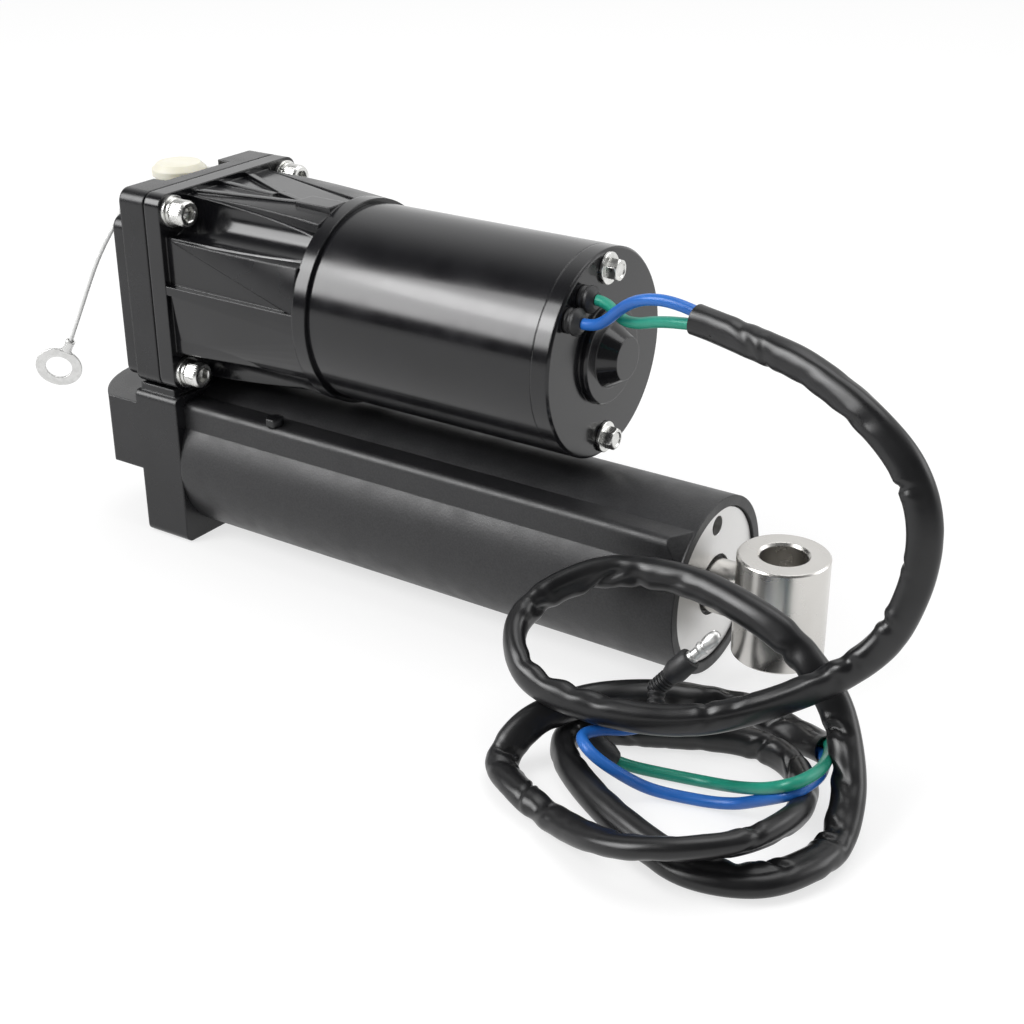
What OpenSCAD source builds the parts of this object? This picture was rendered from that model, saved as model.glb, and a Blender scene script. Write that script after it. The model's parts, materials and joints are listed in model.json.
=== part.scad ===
// Power trim and tilt unit of an outboard engine: a hydraulic ram, its valve block, a gear pump in its
// reservoir and the motor that drives it, with the motor's cable in loose loops beside the rod eye.
// Millimetres. The origin is where the lower pivot's axis meets the ram's centreline.
// +X runs along the ram towards the rod eye, +Z points from the ram to the motor.

/* [Ram] */
// Lower pivot axis to the barrel's seat face
seat_x = 35; // [34:0.5:38]
// Travel of the rod
stroke = 155; // [120:1:175]
// Barrel outside diameter
barrel_d = 63.5; // [62.5:0.1:65]
// Cylinder bore
bore_d = 50.8; // [48:0.1:51.5]
// Half width of the square that the oil passage rib's corner belongs to
rib_half = 27; // [26.5:0.1:28]
// End cap outside diameter
cap_d = 56.1; // [55.5:0.1:57]
// End cap length
cap_l = 25; // [22:0.5:30]
// Rod diameter
rod_d = 19.05; // [17:0.05:20]
// Barrel end to the centre of the rod eye
eye_reach = 24; // [23.5:0.5:30]
// Rod eye outside diameter
eye_d = 31.4; // [30:0.1:34]
// Rod eye height along its pin
eye_h = 37; // [30:0.5:40]
// Diameter of both pivot pins' bores
pin_bore = 16.1; // [14:0.1:16.5]

/* [Base block] */
// Base block length along the ram
block_l = 21.5; // [20:0.5:24]
// Base block width
block_w = 63; // [62:0.5:66]
// Base block top above the ram's centreline
block_top = 30; // [29:0.5:31]
// Radius of the lug's rounded end
lug_r = 39.3; // [37:0.1:41]
// Lug reach behind the pivot axis
lug_reach = 17.7; // [16:0.1:20]
// Lug thickness along the pin
lug_h = 28.4; // [24:0.1:30]
// Lug underside below the ram's centreline
lug_drop = 4; // [2:0.5:6]

/* [Reservoir] */
// Motor axis, sideways from the ram's centreline
motor_y = 7.8; // [6:0.1:9]
// Motor axis above the ram's centreline
motor_z = 71.3; // [71:0.1:75]
// Width of the reservoir's square flange and of its ring
housing_w = 77; // [76:0.5:78]
// Thickness of the valve block
manifold_t = 12; // [12:0.5:14]
// Thickness of the reservoir's flange
flange_t = 8; // [7:0.5:10]
// Length of the reservoir's body beyond the flange
body_l = 61.8; // [58:0.1:70]
// Width of the ring at the motor end
ring_l = 5.9; // [5:0.1:8]
// Spacing of the four flange screws
screw_pitch = 63.5; // [63:0.1:64]

/* [Motor] */
// Motor can outside diameter
can_d = 74; // [73:0.1:75]
// Motor can length
can_l = 95.2; // [94:0.1:110]
// End cover thickness
cover_t = 6.8; // [6:0.1:9]
// Spacing of the two through bolts
bolt_pitch = 61.2; // [60.5:0.1:61.6]

/* [Pump] */
// Gear module
gear_m = 1.25; // [1.1:0.05:1.3]
// Teeth on each gear
gear_teeth = 12; // [10:1:13]
// Gear face width
gear_w = 8.4; // [6:0.1:10]

/* [Cable] */
// Sleeve outside diameter
sleeve_d = 10; // [8:0.1:10.4]
// Wire outside diameter
wire_d = 3.8; // [3:0.1:3.9]
// Ground lead outside diameter
ground_d = 1.6; // [1:0.1:2]
// Ring terminal outside diameter
ring_d = 19; // [17:0.5:20]
// Ring terminal hole
ring_hole = 10.8; // [8:0.1:11]

/* [Hidden] */
$fn = 64;

// Clearances and the overrun of every cut
over = 1;
run_gap = 0.05; // radial clearance of a running fit
free_gap = 0.3; // clearance between pieces that only pass each other

// Ram
barrel_r = barrel_d / 2;
bore_r = bore_d / 2;
rod_r = rod_d / 2;
cap_r = cap_d / 2;
spigot_l = 6; // barrel's spigot in the base block
spigot_r = barrel_r - 2.75;
cap_recess = 1; // cap face below the barrel's rim
bottom_gap = 0.5; // free piston off the block
stack_gap = 1.5; // nut off the free piston
free_l = 11; // free piston length
nut_l = 8; // piston nut length
nut_flange_t = 2; // nut's flange over the shock valves
nut_flange_r = 21;
piston_l = 22; // piston length
end_gap = 2.5; // piston off the end cap with the rod out
stack_l = bottom_gap + free_l + stack_gap + nut_l + piston_l;
barrel_l = stroke + stack_l + end_gap + cap_l + cap_recess - spigot_l;
cavity_x = seat_x - spigot_l;
barrel_x = seat_x + barrel_l;
cap_x = barrel_x - cap_recess;
cap_in_x = cap_x - cap_l;
free_x = cavity_x + bottom_gap;
nut_x = free_x + free_l + stack_gap;
piston_x = nut_x + nut_l;
eye_x = barrel_x + eye_reach;
rib_round = 3; // rounding of the rib's corner
rib_taper_l = 7; // slanted end of the rib
passage_r = 2.5; // oil passage in the rib
passage_yz = 22.6; // passage axis from the centreline, in Y and in Z
cross_x = cap_in_x - 6; // cross drilling into the bore
cross_r = 2;
plug_x = seat_x + 44; // passage plug
plug_y = -23.5;
plug_r = 3.5;
plug_h = 3;
plug_stem_r = 2.4;
plug_stem_h = 4;
cap_face_r = 10.9; // cap's opening round the rod
cap_chamfer = 0.6;
wiper_l = 5;
wiper_r = 12.8;
wiper_recess = 1.2;
seal_l = 6;
seal_r = 13.8;
seal_x = cap_in_x + 7;
o_ring_s = 2.6; // section of the cap's O-ring groove
o_ring_x = cap_in_x + 5;
span_hole_r = 3.5; // spanner holes
span_hole_z = 22.3;
span_hole_l = 8;
rod_neck_r = 7; // rod inside the piston
rod_tail = 1; // rod beyond its nut
nut_af = 24;
piston_seal_l = 4;
piston_seal_h = 3.4;
piston_band_share = 0.55; // place of the seal along the piston
shock_count = 4;
shock_ring_r = 17;
shock_r = 3.2;
shock_ball_r = 3;
shock_port_r = 1.6;
shock_ball_in = 8; // ball's place from the piston's front
spring_wire = 0.7;
free_cup_r = 16; // hollow of the free piston
free_cup_l = 5;
eye_chamfer = 0.9;
eye_socket_x = eye_x - eye_d / 2 + 4; // rod's seat in the eye
lube_r = 1.5;
lube_z = -7;
lube_turn = -65; // lubrication hole, turned from the eye's front

// Base block and lug
block_x = seat_x - block_l;
lug_c = lug_r - lug_reach; // centre of the lug's round end
bush_r = 11;
bush_gap = 2.4; // grease gap between the bushes
neck_in = 2; // seat of the valve block, inside the base block's edges
block_round = 3;

// Valve block, reservoir and back plate
half_w = housing_w / 2;
flange_x = seat_x - flange_t;
manifold_x = flange_x - manifold_t;
plate_t = 6;
plate_x = manifold_x - plate_t;
plate_in = 1.2; // back plate's edge inside the valve block's
plate_top_in = 11.5;
corner_r = 5;
gasket_t = 0.8;
gasket_w = 4;
notch_l = 6; // notch in the valve block's top back edge
notch_y0 = motor_y - 19.8;
notch_y1 = motor_y + 15.7;
notch_h = 13;
panel_half = half_w - 2.7; // upper panels of the housing
panel_round = 14;
body_x = seat_x;
ring_x = body_x + body_l;
can_x = ring_x + ring_l;
cavity_r = 32.5;
body_end_r = half_w - 2; // where the panels meet the ring
groove_r = 9.8; // fluted corners in line with the screws
web_hole_r = 24;
boss_r = 5.5; // bolt bosses in the reservoir
boss_l = 16;
side_out = half_w - 0.2; // lower panels, from the motor axis
side_low_out = half_w - 3;
side_low_z = 20;
side_gap = 2.6; // groove between the flange and the lower panels
step_z = 4.2; // step between the panels above the motor axis
step_h = 3.4;
fan_w = 2.3; // fanned ribs on the top, as [x, y] from the flange's face and the motor axis
fan_h = 1.5;
fan_starts = [[-1, -18.8], [-1, -3.8], [-1, 11.4], [30, -4.6]];
fan_ends = [[45.5, -10.6], [30, -7.2], [30.6, -4.2], [45, -9.4]];
pad_x0 = 45.6; // raised pad in front of the ring
pad_w = 9.2;
pad_y = -14.2;
pad_h = 2.4;
screw_off = screw_pitch / 2;
screw_r = 3; // flange screws
screw_head_r = 5;
screw_head_h = 6;
socket_af = 5;
socket_h = 3.2;
screw_grip = 9; // thread beyond the flange
washer_r = 6;
washer_t = 1.6;
lock_r = 5.2;
lock_t = 1.6;

// Gear pump
pump_x = flange_x;
pump_back_t = 9;
gear_room_l = gear_w + 2 * free_gap;
pump_l = pump_back_t + gear_room_l;
cover_plate_t = 7;
gear_x = pump_x + pump_back_t + free_gap;
centre_d = gear_m * gear_teeth;
pitch_r = centre_d / 2;
tip_r = pitch_r + 0.95 * gear_m;
root_r = pitch_r - 1.25 * gear_m;
pressure_a = 20;
backlash = 0.14;
chamber_r = tip_r + 0.2;
journal_r = 3.5;
pump_w = 42;
pump_h = 40;
pump_round = 10;
pump_z = motor_z - centre_d / 2;
pump_screw_r = 2.5;
pump_screw_head_r = 4.2;
pump_screw_head_h = 5;
pump_screw_dy = 15.5;
pump_screw_dz = 14.5;
port_r = 3;
filter_r = 5;
filter_wall = 1.2;
filter_l = 9;

// Motor
can_r = can_d / 2;
can_wall = 2;
can_in_r = can_r - can_wall;
cover_x = can_x + can_l;
cover_end = cover_x + cover_t;
hub_r = 17.5;
hub_t = 2.9;
cone_r0 = 11.4;
cone_r1 = 7.6;
cone_l = 6;
cover_edge = 0.8;
spigot_t = 3; // end cover's spigot in the can
plate_flange_t = 6;
bolt_off = bolt_pitch / 2;
bolt_r = 2.5;
bolt_af = 7;
bolt_head_h = 4;
bolt_washer_r = 5.6;
bolt_washer_t = 1.4;
bearing_r = 11;
bearing_l = 7;
bearing_race = 2;
shaft_r = 4;
front_bearing_x = can_x - 1;
rear_bearing_x = cover_end - bearing_l - 3;
shaft_seal_r = 9;
shaft_seal_l = 5;
shaft_seal_x = can_x - 7;
core_r = 27;
core_l = 40;
core_x = can_x + 18;
core_slots = 12;
slot_w = 5;
slot_deep = 11;
slot_mouth = 2;
slot_lip = 1.6;
winding_end = 6;
comm_r = 11;
comm_l = 14;
comm_x = core_x + core_l + 12;
comm_slot = 0.6;
comm_groove = 1;
magnet_gap = 0.8;
magnet_l = 46;
magnet_span = 120;
brush_w = 6;
brush_t = 8;
brush_l = 10;
holder_t = 3;
holder_r = 14.5;
holder_rail = 1.4;
brush_spring_l = can_in_r - comm_r - brush_l - free_gap;
brush_spring_r = 2.2;
shaft_start = pump_x + pump_l + cover_plate_t + 12;
gear_shaft_end = shaft_start - free_gap;
coupler_r = 7;
coupler_l = 14;
tongue_t = 4;
tongue_l = 5;

// Valves in the valve block
valve_z = motor_z + 18;
valve_r = 4;
valve_l = 16;
valve_out = 1;
valve_head_r = 5;
valve_head_h = 3;
valve_ring_w = 1.6;
valve_ring_in = 7;
spool_z = motor_z - 22;
spool_r = 4;
spool_l = 26;
spool_y = motor_y + 6;
spool_travel = 2;
spool_land = 6;
spool_waist_r = 2.6;
valve_x = manifold_x + manifold_t / 2;
side_y = motor_y + half_w;
spool_plug_r = 5.2;
spool_plug_l = 9;
spool_plug_af = 9;
spool_plug_head = 3;

// Filler boss and plug behind the valve block
filler_x = plate_x - 7;
filler_y = motor_y + 7;
filler_r = 9;
filler_l = 26;
filler_top = motor_z + 28.7;
filler_bore_r = 6;
nylon_r = 10.8;
nylon_neck_r = 7.6;
nylon_neck_h = 3.2;
nylon_t = 9; // from the boss to the crown
nylon_crown = 2.2;
nylon_stem_l = 8;

// Back plate screws, the last one holding the ground lead in the notch
plate_screw_r = 2;
plate_screw_head_r = 4;
plate_screw_head_h = 2.4;
plate_screw_l = 9;
ground_screw_l = 5;
plate_screws = [[-30, -29], [-30, 18], [30, 10], [30, -29]];
ground_screw_y = motor_y + 11.5;
ground_screw_z = motor_z + 31.5;

// Wire grommets: offsets from the motor axis in Y and Z
grommet_r = 4.8;
grommet_neck_r = 3.6;
grommet_l = 7;
blue_grommet = [-24, 19];
green_grommet = [-15.5, 24.4];

// Routes of the wires and the sleeve, chosen by hand
blue_lead_route = [[207, -16.2, 90.3], [217, -17, 91], [222, -21, 95], [231, -25, 104], [240, -26, 108.5],
    [249, -25, 107.5], [257, -25, 105]];
green_lead_route = [[207, -7.7, 95.7], [217, -9, 96], [228, -18, 95], [235, -20, 96], [245, -23, 99.5],
    [257, -25, 101]];
sleeve_route = [[256, -25, 103], [276, -28, 100.5], [297, -33, 98], [319, -39, 90], [334, -42, 78],
    [341, -44, 62], [340, -46, 42], [333, -51, 24], [316, -60, 9], [290, -73, -3], [264, -81, -6],
    [238, -82, -5], [225, -77, -1], [218, -66, 5], [223, -51, 12], [238, -38, 17], [264, -35, 19],
    [292, -40, 16], [308, -42, 8], [321, -46, -4], [332, -60, -17], [336, -76, -26.5],
    [334, -92, -26.5], [325, -106, -26.5], [308, -112, -26.5], [290, -108, -26.5], [268, -98, -26.5],
    [250, -86, -26.5], [242, -76, -26.5], [245, -66, -26.5], [265, -55, -26.5], [288, -45, -26.5],
    [303, -45.5, -26.5], [315, -55, -25.5], [322.5, -71, -22], [325, -89, -17], [319, -106, -16],
    [303, -120, -16], [285, -122, -20], [262, -113, -26.5], [242, -105, -26.5], [232, -96, -26.5],
    [235, -84, -18], [246, -66, -15], [259, -44, -20], [269, -31, -26], [284, -27, -26.5],
    [304, -33, -26], [317, -41, -22]];
green_tail_route = [[316.5, -39.5, -20.5], [321, -43.5, -17.5], [323, -52, -17.2], [322, -61, -15],
    [318, -67, -15], [311, -68, -16.6], [303, -66, -24], [294, -65.5, -29], [281, -69, -29.5],
    [268, -73, -29], [260, -75.5, -27.5]];
blue_tail_route = [[316.5, -42.7, -23.2], [319, -49, -19.5], [316.5, -56.5, -17.6], [313, -63, -18.5],
    [310, -70, -23], [302, -75, -28.5], [290, -77, -29.5], [277, -82, -28], [268, -89, -20.5],
    [261, -91.5, -15], [255.5, -87, -14], [258, -81, -14], [265, -76, -14], [269, -70, -13.5],
    [268, -64, -10.5], [266, -60, -7]];
ground_route = [[19.8, 19.3, 108], [12.5, 21.5, 106.5], [5, 28, 104], [-2, 29, 102], [-10, 22, 100], [-15, 5, 97],
    [-13, -8, 87], [-19.5, -14, 71.5], [-30, -18, 47], [-35, -19, 36.5]];

// Bullet ends: a boot on each wire
boot_r = 3.9;
boot_neck_r = 2.8;
boot_l = 16;
green_boot_l = 13;
boot_ribs = 3;
boot_rib_l = 1;
boot_rib_h = 0.5;
boot_cone_l = 3;
male_boot = [266, -60, -7];
male_dir = [11, 5, 14];
female_boot = [260, -75.5, -27.5];
female_dir = [-8, -4, 9];
crimp_r = 2.2;
crimp_l = 5;
bullet_r = 2.3;
bullet_l = 7.5;
bullet_waist_r = 1.6;
bullet_cone_l = 1;
socket_r = 2.6;

// Ring terminal
ring_c = [-43, -20, 24];
ring_t = 1;
ring_dir = [8, 1, 12.5]; // from the ring's centre to the lead
ring_face = [0.5, -0.75, -0.34]; // the ring's flat side
crimp_barrel_r = 1.9;
crimp_barrel_l = 6;

steel = "silver";
black = [0.07, 0.07, 0.08];
soft_black = [0.13, 0.13, 0.14];
stainless = [0.72, 0.71, 0.69];
zinc = [0.78, 0.78, 0.76];
cast = [0.62, 0.62, 0.6];
rubber = [0.1, 0.1, 0.1];
nylon = [0.92, 0.89, 0.78];
blue = [0.12, 0.37, 0.75];
green = [0.14, 0.59, 0.47];
copper = [0.72, 0.42, 0.22];
magnet = [0.25, 0.25, 0.27];

// A solid of revolution about a line along X, from [radius, x] points
module lathe(points, y = 0, z = 0) {
    translate([0, y, z]) rotate([0, 90, 0]) rotate_extrude() polygon(points);
}

// A rod along X
module x_rod(r, x0, x1, y = 0, z = 0) {
    translate([x0, y, z]) rotate([0, 90, 0]) cylinder(r = r, h = x1 - x0);
}

// A tube along X
module x_tube(r, r_in, x0, x1, y = 0, z = 0) {
    lathe([[r_in, x0], [r, x0], [r, x1], [r_in, x1]], y, z);
}

// A rod along Y
module y_rod(r, y0, y1, x, z) {
    translate([x, y1, z]) rotate([90, 0, 0]) cylinder(r = r, h = y1 - y0);
}

// A slab across X with rounded corners, centred on the motor axis
module slab(x0, x1, w, h, r, y = motor_y, z = motor_z) {
    translate([x0, y, z]) rotate([90, 0, 90]) linear_extrude(x1 - x0)
        rounded_rect(w, h, r);
}

module rounded_rect(w, h, r) {
    union() {
        square([w - 2 * r, h], center = true);
        square([w, h - 2 * r], center = true);
        for (sx = [-1, 1], sy = [-1, 1])
            translate([sx * (w / 2 - r), sy * (h / 2 - r)]) circle(r);
    }
}

// Children at the four flange screws
module at_screws(x) {
    for (sy = [-1, 1], sz = [-1, 1])
        translate([x, motor_y + sy * screw_off, motor_z + sz * screw_off]) children();
}

// Children at the two through bolts
module at_bolts(x) {
    for (sz = [-1, 1]) translate([x, motor_y, motor_z + sz * bolt_off]) children();
}

// Vectors and the swept tube of a cord
function unit(v) = v / norm(v);
function heading(p, i) =
    i == 0 ? unit(p[1] - p[0])
    : i == len(p) - 1 ? unit(p[i] - p[i - 1])
    : unit(unit(p[i] - p[i - 1]) + unit(p[i + 1] - p[i]));
function carried(v, t) = unit(v - (v * t) * t);
function sides_of(p, i = 0, v = [0, 0, 1]) =
    i == len(p) ? []
    : let (w = carried(v, heading(p, i))) concat([w], sides_of(p, i + 1, w));

module tube_along(p, r, n = 8) {
    up = sides_of(p);
    rings = [for (i = [0 : len(p) - 1]) let (t = heading(p, i), u = up[i], s = cross(t, u))
        for (k = [0 : n - 1]) p[i] + r * (cos(360 * k / n) * u + sin(360 * k / n) * s)];
    walls = [for (i = [0 : len(p) - 2], k = [0 : n - 1])
        let (a = i * n + k, b = i * n + (k + 1) % n) each [[a, b, a + n], [b, b + n, a + n]]];
    first = [for (k = [1 : n - 2]) [0, k + 1, k]];
    last_i = (len(p) - 1) * n;
    last = [for (k = [1 : n - 2]) [last_i, last_i + k, last_i + k + 1]];
    polyhedron(points = rings, faces = [for (f = concat(walls, first, last)) [f[0], f[2], f[1]]]);
}

// Children stood on a point with their +Z along a direction
module aimed(at, dir) {
    d = unit(dir);
    translate(at) rotate([0, acos(d[2]), atan2(d[1], d[0])]) children();
}

// Ram pieces

module barrel_rib() {
    rib_end = barrel_x - rib_taper_l;
    reach = rib_half * sqrt(2);
    intersection() {
        translate([seat_x, 0, 0]) rotate([90, 0, 90]) linear_extrude(barrel_l)
            union() {
                translate([-rib_half, 0]) square([rib_half, rib_half - rib_round]);
                translate([-rib_half + rib_round, 0]) square([rib_half - rib_round, rib_half]);
                translate([-rib_half + rib_round, rib_half - rib_round]) circle(rib_round);
            }
        lathe([[0, seat_x - over], [reach, seat_x - over], [reach, rib_end], [barrel_r - over, barrel_x],
            [0, barrel_x]]);
    }
}

module cylinder_barrel() color(soft_black)
    difference() {
        union() {
            x_rod(barrel_r, seat_x, barrel_x);
            x_rod(spigot_r, cavity_x, seat_x + over);
            barrel_rib();
        }
        x_rod(bore_r, cavity_x - over, barrel_x + over);
        x_rod(cap_r, cap_in_x, barrel_x + over);
        x_rod(passage_r, seat_x - over, cross_x + 2 * passage_r, -passage_yz, passage_yz);
        translate([cross_x, 0, 0]) rotate([45, 0, 0]) cylinder(r = cross_r, h = passage_yz * sqrt(2));
        translate([plug_x, plug_y, rib_half - plug_stem_h]) cylinder(r = plug_stem_r, h = plug_stem_h + over);
    }

module passage_plug() color(black)
    translate([plug_x, plug_y, rib_half]) {
        translate([0, 0, -plug_stem_h]) cylinder(r = plug_stem_r, h = plug_stem_h + plug_h / 2);
        cylinder(r = plug_r, h = plug_h, $fn = 6);
    }

module end_cap() color(stainless)
    difference() {
        lathe([[rod_r + run_gap, cap_in_x], [cap_r - o_ring_s, cap_in_x],
            [cap_r, cap_in_x + o_ring_s], [cap_r, o_ring_x], [cap_r - o_ring_s, o_ring_x],
            [cap_r - o_ring_s, o_ring_x + o_ring_s], [cap_r, o_ring_x + o_ring_s],
            [cap_r, cap_x - cap_chamfer], [cap_r - cap_chamfer, cap_x],
            [cap_face_r, cap_x], [cap_face_r, cap_x - wiper_recess], [wiper_r, cap_x - wiper_recess],
            [wiper_r, cap_x - wiper_recess - wiper_l], [rod_r + run_gap, cap_x - wiper_recess - wiper_l],
            [rod_r + run_gap, seal_x + seal_l], [seal_r, seal_x + seal_l], [seal_r, seal_x],
            [rod_r + run_gap, seal_x]]);
        for (s = [-1, 1]) x_rod(span_hole_r, cap_x - span_hole_l, cap_x + over, 0, s * span_hole_z);
    }

module cap_o_ring() color(rubber)
    x_tube(cap_r, cap_r - o_ring_s, o_ring_x, o_ring_x + o_ring_s);

module rod_seal() color(rubber)
    x_tube(seal_r, rod_r + run_gap, seal_x, seal_x + seal_l);

module rod_wiper() color(rubber)
    x_tube(wiper_r, rod_r + run_gap, cap_x - wiper_recess - wiper_l, cap_x - wiper_recess);

module piston_rod() color(stainless)
    lathe([[0, nut_x - rod_tail], [rod_neck_r, nut_x - rod_tail],
        [rod_neck_r, piston_x + piston_l], [rod_r, piston_x + piston_l], [rod_r, eye_socket_x],
        [0, eye_socket_x]]);

module rod_eye() color(stainless)
    translate([eye_x, 0, 0]) difference() {
        rotate_extrude() polygon([[0, -eye_h / 2], [eye_d / 2 - cap_chamfer, -eye_h / 2],
            [eye_d / 2, -eye_h / 2 + cap_chamfer], [eye_d / 2, eye_h / 2 - cap_chamfer],
            [eye_d / 2 - cap_chamfer, eye_h / 2], [0, eye_h / 2]]);
        translate([0, 0, -eye_h / 2 - over]) cylinder(d = pin_bore, h = eye_h + 2 * over);
        for (s = [0, 1]) mirror([0, 0, s]) translate([0, 0, eye_h / 2 - eye_chamfer])
            cylinder(r1 = pin_bore / 2, r2 = pin_bore / 2 + eye_chamfer + over, h = eye_chamfer + over);
        translate([-eye_d / 2 - over, 0, 0]) rotate([0, 90, 0])
            cylinder(r = rod_r, h = eye_socket_x - eye_x + eye_d / 2 + over);
        rotate([0, 0, lube_turn]) translate([0, 0, lube_z]) rotate([0, 90, 0])
            cylinder(r = lube_r, h = eye_d);
    }

module at_shocks() {
    for (k = [0 : shock_count - 1]) rotate([360 * k / shock_count + 45, 0, 0])
        translate([0, 0, shock_ring_r]) children();
}

module piston() color(cast)
    difference() {
        r = bore_r - 2 * run_gap;
        seal_at = piston_x + piston_l * piston_band_share;
        lathe([[rod_neck_r, piston_x], [r, piston_x], [r, seal_at], [r - piston_seal_h, seal_at],
            [r - piston_seal_h, seal_at + piston_seal_l], [r, seal_at + piston_seal_l],
            [r, piston_x + piston_l], [rod_neck_r, piston_x + piston_l]]);
        at_shocks() {
            x_rod(shock_r, piston_x - over, piston_x + piston_l - shock_ball_in + shock_ball_r);
            x_rod(shock_port_r, piston_x, piston_x + piston_l + over);
        }
    }

module piston_seal() color(rubber) {
    seal_at = piston_x + piston_l * piston_band_share;
    r = bore_r - 2 * run_gap;
    x_tube(bore_r - run_gap, r - piston_seal_h + run_gap, seal_at + run_gap, seal_at + piston_seal_l - run_gap);
}

module piston_nut() color(zinc)
    difference() {
        union() {
            translate([nut_x, 0, 0]) rotate([0, 90, 0]) cylinder(d = nut_af / cos(30), h = nut_l, $fn = 6);
            x_rod(nut_flange_r, piston_x - nut_flange_t, piston_x);
        }
        x_rod(rod_neck_r, nut_x - over, piston_x + over);
        at_shocks() x_rod(shock_port_r, nut_x, piston_x + over);
    }

module shock_balls() color(steel)
    at_shocks() translate([piston_x + piston_l - shock_ball_in, 0, 0]) sphere(r = shock_ball_r);

module shock_springs() color(steel)
    at_shocks() x_tube(shock_ball_r, shock_ball_r - spring_wire, piston_x,
        piston_x + piston_l - shock_ball_in - shock_ball_r);

module free_piston() color(cast)
    lathe([[0, free_x], [bore_r - 2 * run_gap, free_x], [bore_r - 2 * run_gap, free_x + free_l],
        [free_cup_r, free_x + free_l], [free_cup_r, free_x + free_l - free_cup_l],
        [0, free_x + free_l - free_cup_l]]);

// Base pieces

module lug_outline() {
    intersection() {
        translate([lug_c, 0]) circle(lug_r, $fn = 96);
        translate([-lug_reach - over, -block_w / 2]) square([lug_reach + over + block_x + over, block_w]);
    }
}

module block_outline() {
    // the end that the barrel seats on, seen along the ram
    h = block_top + barrel_r;
    translate([0, (block_top - barrel_r) / 2]) rounded_rect(block_w, h, block_round);
}

module base_block() color(black)
    difference() {
        union() {
            translate([block_x, 0, 0]) rotate([90, 0, 90]) linear_extrude(block_l) block_outline();
            translate([0, 0, -lug_drop]) linear_extrude(lug_h) lug_outline();
            translate([block_x + neck_in, -block_w / 2 + neck_in, block_top - over])
                cube([block_l - 2 * neck_in, block_w - 2 * neck_in, motor_z - half_w - block_top + over]);
        }
        x_rod(spigot_r, cavity_x, seat_x + over);
        translate([0, 0, -lug_drop - over]) cylinder(r = bush_r, h = lug_h + 2 * over);
        x_rod(passage_r, cavity_x, seat_x + over, -passage_yz, passage_yz);
    }

module pivot_bushes() color(nylon) {
    bush_l = (lug_h - bush_gap) / 2;
    for (z = [-lug_drop, -lug_drop + lug_h - bush_l]) translate([0, 0, z]) difference() {
        cylinder(r = bush_r, h = bush_l);
        translate([0, 0, -over]) cylinder(d = pin_bore, h = bush_l + 2 * over);
    }
}

// Valve block pieces

module manifold_block() color(black)
    difference() {
        slab(manifold_x, flange_x, housing_w, housing_w, corner_r);
        translate([manifold_x - over, notch_y0, motor_z + half_w - notch_h])
            cube([notch_l + over, notch_y1 - notch_y0, notch_h + over]);
        at_screws(flange_x - screw_grip) rotate([0, 90, 0]) cylinder(r = screw_r, h = screw_grip + over);
        y_rod(valve_r + run_gap, side_y - valve_l, side_y + over, valve_x, valve_z);
        y_rod(spool_r + run_gap, spool_y - spool_l / 2 - spool_travel - over, side_y + over, valve_x, spool_z);
        y_rod(spool_plug_r, side_y - spool_plug_l, side_y + over, valve_x, spool_z);
        for (p = plate_screws) x_rod(plate_screw_r, manifold_x - over, manifold_x + plate_screw_l - plate_t,
            motor_y + p[0], motor_z + p[1]);
        x_rod(plate_screw_r, manifold_x, manifold_x + notch_l + ground_screw_l, ground_screw_y, ground_screw_z);
    }

module back_plate() color(black)
    difference() {
        w = housing_w - 2 * plate_in;
        h = housing_w - plate_in - plate_top_in;
        union() {
            slab(plate_x, manifold_x, w, h, corner_r, motor_y, motor_z - (plate_top_in - plate_in) / 2);
            translate([filler_x, filler_y, filler_top - filler_l]) cylinder(r = filler_r, h = filler_l);
            translate([filler_x, filler_y - filler_r, filler_top - filler_l])
                cube([plate_x - filler_x + over, 2 * filler_r, filler_l - (filler_top - motor_z - half_w
                + plate_top_in)]);
            translate([filler_x, filler_y, filler_top - filler_l]) sphere(r = filler_r);
        }
        translate([filler_x, filler_y, filler_top - nylon_stem_l])
            cylinder(r = filler_bore_r, h = nylon_stem_l + over);
        for (p = plate_screws) x_rod(plate_screw_r, plate_x - over, manifold_x + over,
            motor_y + p[0], motor_z + p[1]);
    }

module pan_screw(x, y, z, l = plate_screw_l) {
    x_rod(plate_screw_r, x, x + l, y, z);
    difference() {
        x_rod(plate_screw_head_r, x - plate_screw_head_h, x, y, z);
        translate([x - plate_screw_head_h - over, y - plate_screw_r, z - plate_screw_r / 4])
            cube([plate_screw_head_h / 2 + over, 2 * plate_screw_r, plate_screw_r / 2]);
    }
}

module back_plate_screws() color(zinc) {
    for (p = plate_screws) pan_screw(plate_x, motor_y + p[0], motor_z + p[1]);
    pan_screw(manifold_x + notch_l, ground_screw_y, ground_screw_z, ground_screw_l);
}

module release_valve() color(zinc)
    translate([valve_x, side_y, valve_z]) rotate([-90, 0, 0]) difference() {
        rotate_extrude() polygon([[0, -valve_l + 2 * valve_out], [valve_r / 2, -valve_l + 2 * valve_out],
            [valve_r, -valve_l + 3 * valve_out], [valve_r, -valve_ring_in - valve_ring_w],
            [valve_r - valve_ring_w, -valve_ring_in - valve_ring_w], [valve_r - valve_ring_w, -valve_ring_in],
            [valve_r, -valve_ring_in], [valve_r, free_gap], [valve_head_r, free_gap],
            [valve_head_r, free_gap + valve_head_h], [0, free_gap + valve_head_h]]);
        translate([-valve_head_r - over, -valve_out / 2, free_gap + valve_head_h / 2])
            cube([2 * valve_head_r + 2 * over, valve_out, valve_head_h]);
    }

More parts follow.
